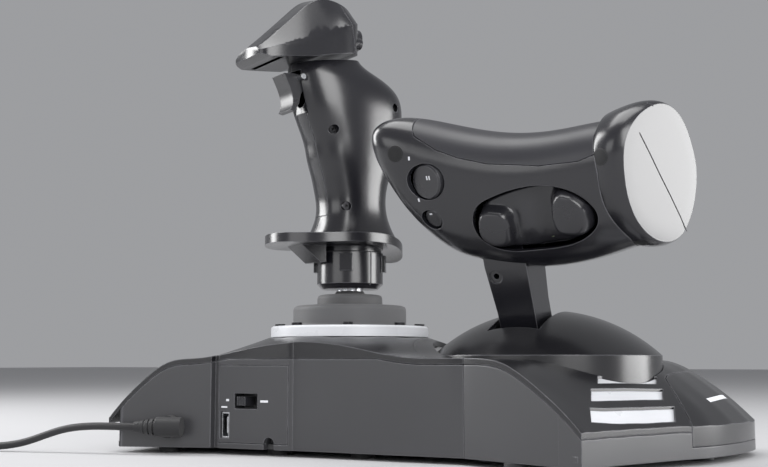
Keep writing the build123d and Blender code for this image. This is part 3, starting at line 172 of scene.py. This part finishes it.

MAT = {
    # lighter copy of the dark cover plastic for the base walls and port panel: the lift in tone
    # is painted light, the walls' lit look
    "shell": surface(
        "shell_plastic", dark=(0.040, 0.040, 0.0435), light=(0.046, 0.046, 0.050),
        rough=(0.315, 0.345), edge=DARK_EDGE_WEAR_AND_HIGHLIGHT, bevel=0.0007, specular=0.62),
    "cover": surface(
        "cover_plastic", dark=(0.0100, 0.0100, 0.0118), light=(0.0112, 0.0112, 0.0132),
        rough=(0.245, 0.262), edge=DARK_EDGE_WEAR_AND_HIGHLIGHT, bevel=0.0007, specular=0.62, coat=0.15),
    "grip": surface(
        "grip_plastic", dark=(0.0095, 0.0095, 0.0125), light=(0.0110, 0.0108, 0.0142),
        rough=(0.225, 0.245), edge=DARK_EDGE_WEAR_AND_HIGHLIGHT, specular=0.65, coat=0.25),
    "handle": surface(
        "handle_plastic", dark=(0.0100, 0.0100, 0.0130), light=(0.0115, 0.0113, 0.0148),
        rough=(0.225, 0.245), edge=DARK_EDGE_WEAR_AND_HIGHLIGHT, specular=0.65, coat=0.25),
    "pale": surface(
        "pale_plastic", dark=(0.62, 0.63, 0.66), light=(0.72, 0.73, 0.76),
        rough=(0.24, 0.36), edge=(0.85, 0.85, 0.88), edge_amount=0.2, bevel=0.0004,
        grain_height=0.000003),
    "button": surface(
        "button_plastic", dark=(0.014, 0.014, 0.017), light=(0.022, 0.022, 0.026),
        rough=(0.22, 0.32), edge=(0.22, 0.22, 0.24), specular=0.6, coat=0.2),
    "boot": surface(
        "boot_rubber", dark=(0.085, 0.085, 0.088), light=(0.12, 0.12, 0.125),
        rough=(0.55, 0.72), edge=(0.22, 0.22, 0.23), bevel=0.0004, specular=0.35,
        sheen=0.15, grain_height=0.000012),
    "rubber": surface(
        "black_rubber", dark=(0.012, 0.012, 0.013), light=(0.024, 0.024, 0.026),
        rough=(0.45, 0.62), edge=(0.09, 0.09, 0.10), bevel=0.0003, specular=0.4,
        sheen=0.1, grain_height=0.000010),
    "pad": surface(
        "soft_pad", dark=(0.018, 0.018, 0.022), light=(0.028, 0.028, 0.034),
        rough=(0.34, 0.44), edge=(0.16, 0.16, 0.18), specular=0.55, grain_height=0.000008),
    "steel": surface(
        "steel", dark=(0.55, 0.56, 0.58), light=(0.66, 0.67, 0.69),
        rough=(0.18, 0.32), edge=(0.85, 0.85, 0.86), edge_amount=0.2, bevel=0.0002,
        metallic=1.0, grain=260.0, grain_height=0.000003, brushed=True),
    "black_screw": surface(
        "black_oxide_screw", dark=(0.02, 0.02, 0.022), light=(0.035, 0.035, 0.038),
        rough=(0.28, 0.4), edge=(0.35, 0.35, 0.36), bevel=0.0002, metallic=0.9,
        grain=400.0, grain_height=0.000003),
    "inner": surface(
        "inner_plastic", dark=(0.06, 0.06, 0.062), light=(0.085, 0.085, 0.09),
        rough=(0.45, 0.6), edge=(0.2, 0.2, 0.2), bevel=0.0004, grain_height=0.000008),
    "board": surface(
        "board_mask", dark=(0.006, 0.055, 0.022), light=(0.010, 0.09, 0.035),
        rough=(0.25, 0.4), edge=(0.3, 0.28, 0.12), bevel=0.0, coat=0.3, grain=500.0),
    "mark": surface(
        "pale_ink", dark=(0.62, 0.63, 0.66), light=(0.78, 0.79, 0.82),
        rough=(0.5, 0.65), edge=(0.8, 0.8, 0.8), edge_amount=0.0, bevel=0.0,
        grain=2500.0, grain_height=0.00002),
    # painted shade of the recesses, also the dark seam line across the end cap
    "shade_and_seam": surface(
        "painted_shade_and_seam", dark=(0.004, 0.004, 0.005), light=(0.008, 0.008, 0.010),
        rough=(0.5, 0.7), edge=(0.05, 0.05, 0.05), edge_amount=0.1, bevel=0.0),
}

# CAD pieces by material; a piece not listed gets "inner"
PIECES = {
    "shell": "stick_base_shell throttle_base_shell port_panel",
    "cover": "stick_base_cover throttle_base_cover hand_rest_panel throttle_dome slot_shutter",
    "grip": "grip_shell_left grip_shell_right grip_front_strip head_cap hand_flange"
            " stick_collar thumb_plate",
    "handle": "throttle_arm handle_front handle_rear handle_end_cap",
    "pale": "vent_inserts gimbal_ring",
    "button": "hat hat_cross thumb_button_left thumb_button_right lens_button_large"
              " lens_button_small thumb_key_upper thumb_key_lower rudder_rocker trigger"
              " selector_slider tension_knob",
    "boot": "boot_lower boot_upper",
    "rubber": "rubber_feet usb_cable cable_strain_relief usb_plug_body",
    "pad": "handle_pad",
    "steel": "stick_shaft throttle_axle trigger_pin ballast_plates usb_plug_shell"
             " port_socket gimbal_frame",
    "black_screw": "base_screws ring_screws grip_screws",
    "board": "main_board grip_board handle_board pitch_sensor roll_sensor",
}
PAINT = {piece: key for key, pieces in PIECES.items() for piece in pieces.split()}


# ------------------------------------------------------------------ smooth shading
WELD_DISTANCE = 0.00002             # m
PIECE_ANGLE = 34.0                  # degrees; sharper edges stay hard
FLAT_ANGLE = 28.0                   # the same, for plate-like pieces
FLAT_PIECES = {"bottom_plates", "ballast_plates", "main_board", "gimbal_frame",
               "gimbal_housing", "lever_brackets"}


def edge_smooth_group():
    """Geometry nodes that smooth every edge up to an angle."""
    group = bpy.data.node_groups.new("edge_smooth", "GeometryNodeTree")
    group.is_modifier = True
    socket = group.interface.new_socket
    socket("Geometry", in_out="INPUT", socket_type="NodeSocketGeometry")
    limit = socket("Angle", in_out="INPUT", socket_type="NodeSocketFloat")
    limit.default_value = math.radians(32)
    socket("Geometry", in_out="OUTPUT", socket_type="NodeSocketGeometry")
    source = add_node(group, "NodeGroupInput")
    result = add_node(group, "NodeGroupOutput")
    edge_angle = add_node(group, "GeometryNodeInputMeshEdgeAngle")
    compare = add_node(group, "FunctionNodeCompare", data_type="FLOAT", operation="LESS_EQUAL")
    faces = add_node(group, "GeometryNodeSetShadeSmooth", domain="FACE")
    edges = add_node(group, "GeometryNodeSetShadeSmooth", domain="EDGE")
    link = group.links.new
    link(source.outputs["Geometry"], faces.inputs["Geometry"])
    link(faces.outputs[0], edges.inputs["Geometry"])
    link(edge_angle.outputs["Unsigned Angle"], compare.inputs[0])
    link(source.outputs["Angle"], compare.inputs[1])
    link(compare.outputs[0], edges.inputs["Shade Smooth"])
    link(edges.outputs[0], result.inputs["Geometry"])
    return group, limit.identifier


EDGE_SMOOTH, ANGLE_SOCKET = edge_smooth_group()


def shade_smooth(mesh):
    for face in mesh.polygons:
        face.use_smooth = True


def smooth(obj, angle):
    shade_smooth(obj.data)
    obj.modifiers.new("weld", "WELD").merge_threshold = WELD_DISTANCE
    by_angle = obj.modifiers.new("smooth_by_angle", "NODES")
    by_angle.node_group = EDGE_SMOOTH
    by_angle[ANGLE_SOCKET] = math.radians(angle)


def dress_cad_pieces():
    for name, obj in nodes.items():
        obj.data.materials.clear()
        obj.data.materials.append(MAT[PAINT.get(name, "inner")])
        if obj.data.has_custom_normals:
            with bpy.context.temp_override(object=obj, active_object=obj, selected_objects=[obj],
                                           selected_editable_objects=[obj]):
                bpy.context.view_layer.objects.active = obj
                bpy.ops.mesh.customdata_custom_splitnormals_clear()
        smooth(obj, FLAT_ANGLE if name in FLAT_PIECES else PIECE_ANGLE)


dress_cad_pieces()


# ------------------------------------------------------------------ mesh helpers
def link_object(name, data):
    obj = bpy.data.objects.new(name, data)
    scene.collection.objects.link(obj)
    return obj


def mesh_obj(name, verts, faces, material, angle=None):
    """Mesh from points in metres; angle (degrees) turns on smoothing by angle."""
    mesh = bpy.data.meshes.new(name)
    mesh.from_pydata([tuple(v) for v in verts], [], faces)
    mesh.validate()
    mesh.update()
    bm = bmesh.new()
    bm.from_mesh(mesh)
    bmesh.ops.recalc_face_normals(bm, faces=bm.faces)
    bm.to_mesh(mesh)
    bm.free()
    obj = link_object(name, mesh)
    mesh.materials.append(MAT[material])
    if angle:
        smooth(obj, angle)
    return obj


def revolve(name, profile, material, segments=96):
    """Turn a closed list of (radius, z) in mm about the Z axis."""
    verts, faces = [], []
    count = len(profile)
    for i in range(segments):
        turn = 2 * math.pi * i / segments
        for radius, z in profile:
            verts.append((radius * math.cos(turn) / 1000, radius * math.sin(turn) / 1000,
                          z / 1000))
    for i in range(segments):
        j = (i + 1) % segments
        for k in range(count):
            m = (k + 1) % count
            faces.append((i * count + k, j * count + k, j * count + m, i * count + m))
    return mesh_obj(name, verts, faces, material, angle=60.0)


def ring_faces(gaps, count):
    """Quads filling the gaps between closed rings of count points."""
    return [(k * count + i, k * count + (i + 1) % count,
             (k + 1) * count + (i + 1) % count, (k + 1) * count + i)
            for k in range(gaps) for i in range(count)]


def closed_curve(points, count):
    """Closed Catmull-Rom curve through 2D points, sampled count times."""
    curve = []
    for i in range(count):
        u = i * len(points) / count
        j = int(u)
        f = u - j
        p0, p1, p2, p3 = (points[(j + k - 1) % len(points)] for k in range(4))
        curve.append(tuple(
            0.5 * ((2 * p1[c]) + (-p0[c] + p2[c]) * f
                   + (2 * p0[c] - 5 * p1[c] + 4 * p2[c] - p3[c]) * f * f
                   + (-p0[c] + 3 * p1[c] - 3 * p2[c] + p3[c]) * f ** 3)
            for c in (0, 1)))
    return curve


# ------------------------------------------------------------------ rubber boots round the shaft
BOOT_STEP = 0.6                     # mm, longest step along a boot's outline

# outer outlines, (radius, z) in mm, from the rim up to the neck
LOWER_BOOT = [
    (32.4, 59.0), (31.4, 64.6), (30.5, 65.4), (30.2, 66.2), (30.2, 74.0),
    (29.7, 75.3), (28.4, 76.0), (24.0, 76.1), (21.4, 75.9), (19.9, 75.5)]
UPPER_BOOT = [
    (21.2, 74.0), (19.0, 74.3), (18.0, 74.9), (17.5, 75.8), (17.4, 80.2), (16.9, 81.4),
    (15.8, 81.9), (12.0, 82.0), (9.0, 82.2), (7.9, 82.9), (7.25, 84.0)]


def subdivide(points, step):
    fine = []
    for (r0, z0), (r1, z1) in zip(points, points[1:]):
        count = max(1, int(math.hypot(r1 - r0, z1 - z0) / step))
        for i in range(count):
            t = i / count
            fine.append((r0 + (r1 - r0) * t, z0 + (z1 - z0) * t))
    fine.append(points[-1])
    return fine


def make_boot(name, outline, wall, replaced):
    """Boot skin of the given wall (mm), turned about the Z axis in place of the CAD piece it
    hides.
    """
    outer = subdivide(outline, BOOT_STEP)
    inner = [(r - wall, z - wall * 0.4) for r, z in reversed(outer)]
    boot = revolve(name, outer + inner, "boot")
    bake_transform(boot)
    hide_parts(replaced)


make_boot("boot_low_skin", LOWER_BOOT, wall=1.5,
          replaced="boot_lower")
make_boot("boot_up_skin", UPPER_BOOT, wall=1.2,
          replaced="boot_upper")


# ------------------------------------------------------------------ camera, floor, world, lights
CAMERA_PLACE = (-0.31735, 0.51306, 0.0469)
CAMERA_HEADING = (0.5, -0.866025)           # level direction of view, x and y
CAMERA_TILT = math.radians(6.483)           # upward
FLOOR_HALF = 6
FLOOR_Z = -0.0002                           # just under the feet
LIGHT_TARGET = (-0.03, 0.0, 0.12)


def aim(obj, direction):
    obj.rotation_euler = direction.to_track_quat("-Z", "Y").to_euler()


def make_camera():
    data = bpy.data.cameras.new("cam")
    camera = link_object("cam", data)
    data.sensor_width = 36.0
    data.lens = 52.59375
    data.clip_start = 0.01
    camera.location = CAMERA_PLACE
    level = math.cos(CAMERA_TILT)
    aim(camera, Vector((CAMERA_HEADING[0] * level, CAMERA_HEADING[1] * level,
                        math.sin(CAMERA_TILT))))
    scene.camera = camera


def make_floor():
    h = FLOOR_HALF
    mesh = bpy.data.meshes.new("floor")
    mesh.from_pydata([(-h, -h, 0), (h, -h, 0), (h, h, 0), (-h, h, 0)], [], [(0, 1, 2, 3)])
    floor = link_object("floor", mesh)
    floor.location.z = FLOOR_Z
    material, tree = new_material("floor_paint")
    output = add_node(tree, "ShaderNodeOutputMaterial")
    shader = add_node(tree, "ShaderNodeBsdfPrincipled", {
        "Base Color": (0.50, 0.50, 0.51, 1), "Roughness": 0.9, "Specular IOR Level": 0.1})
    tree.links.new(shader.outputs[0], output.inputs[0])
    mesh.materials.append(material)


def make_world():
    world = bpy.data.worlds.new("studio")
    scene.world = world
    world.use_nodes = True
    background = world.node_tree.nodes["Background"]
    background.inputs["Color"].default_value = (0.80, 0.81, 0.84, 1)
    background.inputs["Strength"].default_value = 0.42


def area(name, place, size, power, target=LIGHT_TARGET):
    """Rectangular light; place, size and target in m, power in W."""
    data = bpy.data.lights.new(name, "AREA")
    data.shape = "RECTANGLE"
    data.size, data.size_y = size
    data.energy = power
    light = link_object(name, data)
    light.location = place
    aim(light, Vector(target) - Vector(place))


make_camera()
make_floor()
make_world()
area("key_front_left", place=(-0.95, 0.75, 0.55), size=(0.7, 0.9), power=10.5)
area("top_soft", place=(0.0, 0.1, 1.3), size=(1.2, 0.8), power=11.0)
area("rim_right", place=(0.9, 0.25, 0.55), size=(0.35, 0.9), power=10.0)
area("fill_front", place=(0.25, 1.2, 0.35), size=(0.8, 0.5), power=2.2)
area("side_card", place=(-0.85, -0.39, 0.10), size=(0.55, 0.5), power=6.5,
     target=(-0.17, 0.035, 0.12))
scene.view_settings.view_transform = "Standard"


# ------------------------------------------------------------------ handle axes
LEVER_ORIGIN = (-103.4, -21.5, 20.0)        # mm
LEVER_LEAN = math.radians(25.0)             # about X, top towards +Y
HANDLE_SCALE = 1.02


def lever(x, y, z):
    """Point in the lever's own axes (mm) to a place in the scene (m)."""
    x, y, z = x * HANDLE_SCALE, y * HANDLE_SCALE, z * HANDLE_SCALE
    c, s = math.cos(LEVER_LEAN), math.sin(LEVER_LEAN)
    return Vector(((LEVER_ORIGIN[0] + x) / 1000,
                   (LEVER_ORIGIN[1] + y * c + z * s) / 1000,
                   (LEVER_ORIGIN[2] - y * s + z * c) / 1000))


# handle sections, mm: x, middle z, half height, middle y, depth from there to the front
SECTIONS = [
    (-60.0, 114.0, 29.0, -2.6, 21.4),
    (-48.0, 112.6, 30.6, -1.4, 22.2),
    (-34.0, 110.8, 31.4, -0.4, 22.4),
    (-18.0, 110.2, 31.9, 0.4, 22.4),
    (-2.0, 112.2, 32.2, 1.4, 22.2),
    (12.0, 116.0, 32.4, 2.6, 21.8),
    (24.0, 120.8, 32.0, 4.4, 21.0),
]
SECTION_POWER = 0.86                        # superellipse exponent of a section


def front_y(x, z):
    """The handle's +Y surface over (x, z), in lever axes."""
    for low, high in zip(SECTIONS, SECTIONS[1:]):
        if x <= high[0]:
            break
    share = (x - low[0]) / (high[0] - low[0])
    _, mid_z, half_height, mid_y, depth = [p + (q - p) * share for p, q in zip(low, high)]
    t = max(-0.98, min(0.98, (z - mid_z) / half_height))
    sine = math.copysign(abs(t) ** (1 / SECTION_POWER), t)
    cosine = math.sqrt(max(0.0, 1 - sine * sine))
    return mid_y + depth * cosine ** SECTION_POWER + 3.0 * sine * (half_height / 32.0)


# ------------------------------------------------------------------ rocker plate
# A raised pad at each end, hollow in the middle for the fingers.
# outline, (x, z) in lever axes, mm
ROCKER_OUTLINE = [
    (-49.0, 110.6), (-43.0, 117.6), (-32.0, 122.4), (-18.0, 123.0), (-4.0, 120.0),
    (4.0, 116.0), (7.6, 108.0), (5.0, 98.6), (-2.0, 93.6), (-18.0, 92.4),
    (-34.0, 93.6), (-45.0, 98.4), (-49.4, 104.0)]
ROCKER_X, ROCKER_Z = -20.6, 108.0           # centre
ROCKER_HALF = 27.0                          # half length used for the height curve
ROCKER_FIT = 0.945                          # plate edge as a share of the outline
ROCKER_RINGS = 30
ROCKER_SKIRT = 6.0                          # depth of the skirt below the handle surface


def soft(a, b, x):
    """Smoothstep from 0 at a to 1 at b."""
    t = max(0.0, min(1.0, (x - a) / (b - a)))
    return t * t * (3 - 2 * t)


def pad_bump(x, z, centre, half, turn):
    """1 on a rounded-square pad, fading to 0 around it."""
    c, s = math.cos(turn), math.sin(turn)
    dx, dz = x - centre[0], z - centre[1]
    u, v = (dx * c + dz * s) / half[0], (-dx * s + dz * c) / half[1]
    reach = (abs(u) ** 3.2 + abs(v) ** 3.2) ** (1 / 3.2)
    return 1 - soft(0.78, 1.18, reach)


def rocker_height(x, z, share):
    """Height over the handle surface, mm; share is 0 at the centre, ROCKER_FIT at the edge."""
    u = (x - ROCKER_X) / ROCKER_HALF
    dish = -4.2 + 1.2 * u * u
    low_x_pad = pad_bump(x, z, centre=(-38.4, 109.0), half=(8.6, 10.6), turn=0.10)
    high_x_pad = pad_bump(x, z, centre=(-2.4, 104.6), half=(7.8, 9.6), turn=0.18)
    hollow = 2.2 * math.exp(-((u + 0.2) / 0.26) ** 2)
    ridge = 1.6 * math.exp(-((u - 0.12) / 0.16) ** 2) * soft(1.0, 0.2, abs(z - 107.0) / 14.0)
    edge_drop = 1.4 * soft(0.90, ROCKER_FIT, share)
    return dish + 8.0 * low_x_pad + 6.2 * high_x_pad - hollow + ridge - edge_drop


def make_rocker():
    outline = closed_curve(ROCKER_OUTLINE, 96)

    def ring(share):
        return [(ROCKER_X + (x - ROCKER_X) * share, ROCKER_Z + (z - ROCKER_Z) * share)
                for x, z in outline]

    verts = []
    for k in range(ROCKER_RINGS + 1):
        share = ROCKER_FIT * k / ROCKER_RINGS
        verts += [lever(x, front_y(x, z) + rocker_height(x, z, share), z)
                  for x, z in ring(share)]
    verts += [lever(x, front_y(x, z) - ROCKER_SKIRT, z) for x, z in ring(ROCKER_FIT)]
    faces = ring_faces(ROCKER_RINGS + 1, len(outline))
    rocker = mesh_obj("rocker_plate", verts, faces, "button", angle=60.0)
    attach(rocker, "rocker")
    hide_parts("rudder_rocker")


make_rocker()


# ------------------------------------------------------------------ marks and painted shade in recesses
UP = (0, 0, 1)
MARK_LIFT = 0.00010                         # m above the surface
LENS_NORMAL = (0.241, 0.919, -0.313)
PANEL_NORMAL = (-0.07, 0.998, 0)

# name, CAD piece, centre mm, normal, up, (width, height) mm, (columns, rows), body
MARKS = [
    ("mark_pip_a", "handle_front", (-70.81, 62.85, 140.23), (-0.165, 0.953, -0.255), UP,
     (0.9, 1.7), (3, 3), "throttle"),
    ("mark_pip_b", "handle_front", (-71.6, 54.67, 121.75), (0.027, 0.835, -0.55), UP,
     (0.9, 1.7), (3, 3), "throttle"),
    ("mark_lens_a1", "lens_button_large", (-78.1, 59.27, 130.92), LENS_NORMAL, UP,
     (0.8, 1.9), (3, 3), "lens_large"),
    ("mark_lens_a2", "lens_button_large", (-79.6, 59.27, 130.92), LENS_NORMAL, UP,
     (0.8, 1.9), (3, 3), "lens_large"),
    ("mark_lens_b", "lens_button_small", (-74.9, 48.93, 115.58), (0.267, 0.743, -0.613), UP,
     (1.8, 0.8), (4, 3), "lens_small"),
    ("mark_port_a", "port_panel", (39.3, 54.05, 27.2), PANEL_NORMAL, UP,
     (1.8, 1.1), (4, 3), "base"),
    ("mark_port_b", "port_panel", (41.2, 54.20, 23.7), PANEL_NORMAL, UP,
     (3.6, 0.8), (4, 3), "base"),
    ("mark_selector", "port_panel", (17.6, 52.60, 26.8), PANEL_NORMAL, UP,
     (4.6, 1.1), (4, 3), "base"),
    ("mark_panel_bar", "hand_rest_panel", (-181.2, -48.0, 28.6), (-0.66, 0.05, 0.74),
     (0.74, 0.0, 0.66), (30.0, 2.6), (24, 4), "base"),
]
# ringed recesses drawn as painted shade, a dark matte ring round a darker disc: CAD piece,
# centre mm, normal
RECESS_SHADE_SPOTS = [
    ("handle_front", (-64.29, 64.51, 142.68), (-0.078, 0.965, -0.25)),
    ("handle_end_cap", (-159.4, 53.08, 134.36), (0.285, 0.933, -0.221)),
]


@functools.cache
def surface_tree(piece):
    mesh = nodes[piece].data
    return BVHTree.FromPolygons([v.co.copy() for v in mesh.vertices],
                                [list(p.vertices) for p in mesh.polygons])


def bar(size, cells):
    (width, height), (columns, rows) = size, cells
    return [[(-width / 2 + width * i / columns, -height / 2 + height * j / rows)
             for i in range(columns + 1)] for j in range(rows + 1)]


def disc(radius, rings=5, segments=28):
    return [[(radius * i / rings * math.cos(2 * math.pi * j / segments),
              radius * i / rings * math.sin(2 * math.pi * j / segments))
             for j in range(segments + 1)] for i in range(rings + 1)]


def patch(name, piece, centre, normal, up, grid, material, body, lift=MARK_LIFT):
    """Lay rows of (across, up) points in mm on a CAD piece's surface."""
    normal = Vector(normal).normalized()
    up = Vector(up)
    up = (up - normal * up.dot(normal)).normalized()
    side = up.cross(normal)
    centre = Vector(centre) / 1000
    verts, faces = [], []
    for row in grid:
        for a, b in row:
            point = centre + side * (a / 1000) + up * (b / 1000)
            hit = surface_tree(piece).ray_cast(point + normal * 0.006, -normal, 0.014)[0]
            verts.append((point if hit is None else hit) + normal * lift)
    w = len(grid[0])
    for i in range(len(grid) - 1):
        for j in range(w - 1):
            faces.append((i * w + j, i * w + j + 1, (i + 1) * w + j + 1, (i + 1) * w + j))
    obj = mesh_obj(name, verts, faces, material)
    shade_smooth(obj.data)
    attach(obj, body)


for name, piece, centre, normal, up, size, cells, body in MARKS:
    patch(name, piece, centre, normal, up, bar(size, cells), "mark", body)
# painted shade: a dark matte ring and a darker disc laid on the surface for each screw recess
for k, (piece, centre, normal) in enumerate(RECESS_SHADE_SPOTS):
    patch(f"recess_{k}", piece, centre, normal, UP, disc(3.9), "rubber",
          "throttle", lift=0.00006)
    patch(f"recess_painted_shade_{k}", piece, centre, normal, UP, disc(3.3), "shade_and_seam",
          "throttle", lift=0.00012)


# ------------------------------------------------------------------ end cap of the handle
# outline, (y, z) in lever axes, mm
CAP_OUTLINE = [
    (-27.6, 115.0), (-25.8, 128.0), (-20.6, 140.4), (-12.0, 147.6), (-2.0, 149.2),
    (8.4, 146.6), (16.8, 139.6), (20.8, 127.0), (21.0, 113.6), (17.6, 101.6),
    (10.6, 91.6), (0.6, 84.8), (-9.6, 84.0), (-18.4, 90.2), (-24.8, 101.0)]
CAP_Y, CAP_Z = -3.0, 116.4                  # centre of the face
CAP_X = -73.5                               # at the centre, before the dome
CAP_SLOPE = 0.40                            # x gained per y
CAP_DOME = 0.10                             # mm the face stands proud inside its edge
CAP_RINGS = 8
CAP_POINTS = 90
CAP_NORMAL = Vector((-0.93, 0.34, -0.16)).normalized()

# parting line across the face, scene mm, from the top down
CAP_LINE = [
    (-173.0, 49.9, 149.6), (-174.47, 43.96, 144.53), (-176.17, 35.70, 136.92),
    (-177.88, 27.16, 128.70), (-179.67, 18.52, 120.74), (-181.45, 9.59, 112.15),
    (-182.6, 3.4, 105.6)]
LINE_HALF = 0.22                            # mm
LINE_LIFT = 0.00022                         # m


def make_cap_face():
    verts = []
    outline = closed_curve(CAP_OUTLINE, CAP_POINTS)
    for k in range(1, CAP_RINGS + 1):
        share = 0.925 * k / CAP_RINGS
        dome = CAP_DOME if k < CAP_RINGS else 0.0
        for y0, z0 in outline:
            y, z = CAP_Y + (y0 - CAP_Y) * share, CAP_Z + (z0 - CAP_Z) * share
            verts.append(lever(CAP_X + (y - CAP_Y) * CAP_SLOPE - dome, y, z))
    verts.append(lever(CAP_X - CAP_DOME, CAP_Y, CAP_Z))
    faces = ring_faces(CAP_RINGS - 1, CAP_POINTS)
    faces += [(len(verts) - 1, i, (i + 1) % CAP_POINTS) for i in range(CAP_POINTS)]
    face = mesh_obj("end_cap_face", verts, faces, "handle", angle=30.0)
    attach(face, "throttle")


def make_cap_line():
    verts = []
    points = [Vector(p) for p in CAP_LINE]
    last = len(points) - 1
    for i, point in enumerate(points):
        along = (points[min(last, i + 1)] - points[max(0, i - 1)]).normalized()
        side = along.cross(CAP_NORMAL).normalized() * LINE_HALF
        hit = surface_tree("handle_end_cap").ray_cast(
            (point + CAP_NORMAL * 4) / 1000, -CAP_NORMAL, 0.010)[0]
        base = point / 1000 if hit is None else hit
        verts += [base + side / 1000 + CAP_NORMAL * LINE_LIFT,
                  base - side / 1000 + CAP_NORMAL * LINE_LIFT]
    faces = [(2 * i, 2 * i + 1, 2 * i + 3, 2 * i + 2) for i in range(last)]
    line = mesh_obj("end_cap_line", verts, faces, "shade_and_seam")
    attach(line, "throttle")


make_cap_face()
make_cap_line()
# painted shade: a dark disc laid on the surface for the recess under the end cap
patch("recess_2", "handle_end_cap", (-167.77, 24.76, 99.19), (-0.06, 0.27, -0.96), (-1, 0, 0),
      disc(3.2), "shade_and_seam", "throttle")
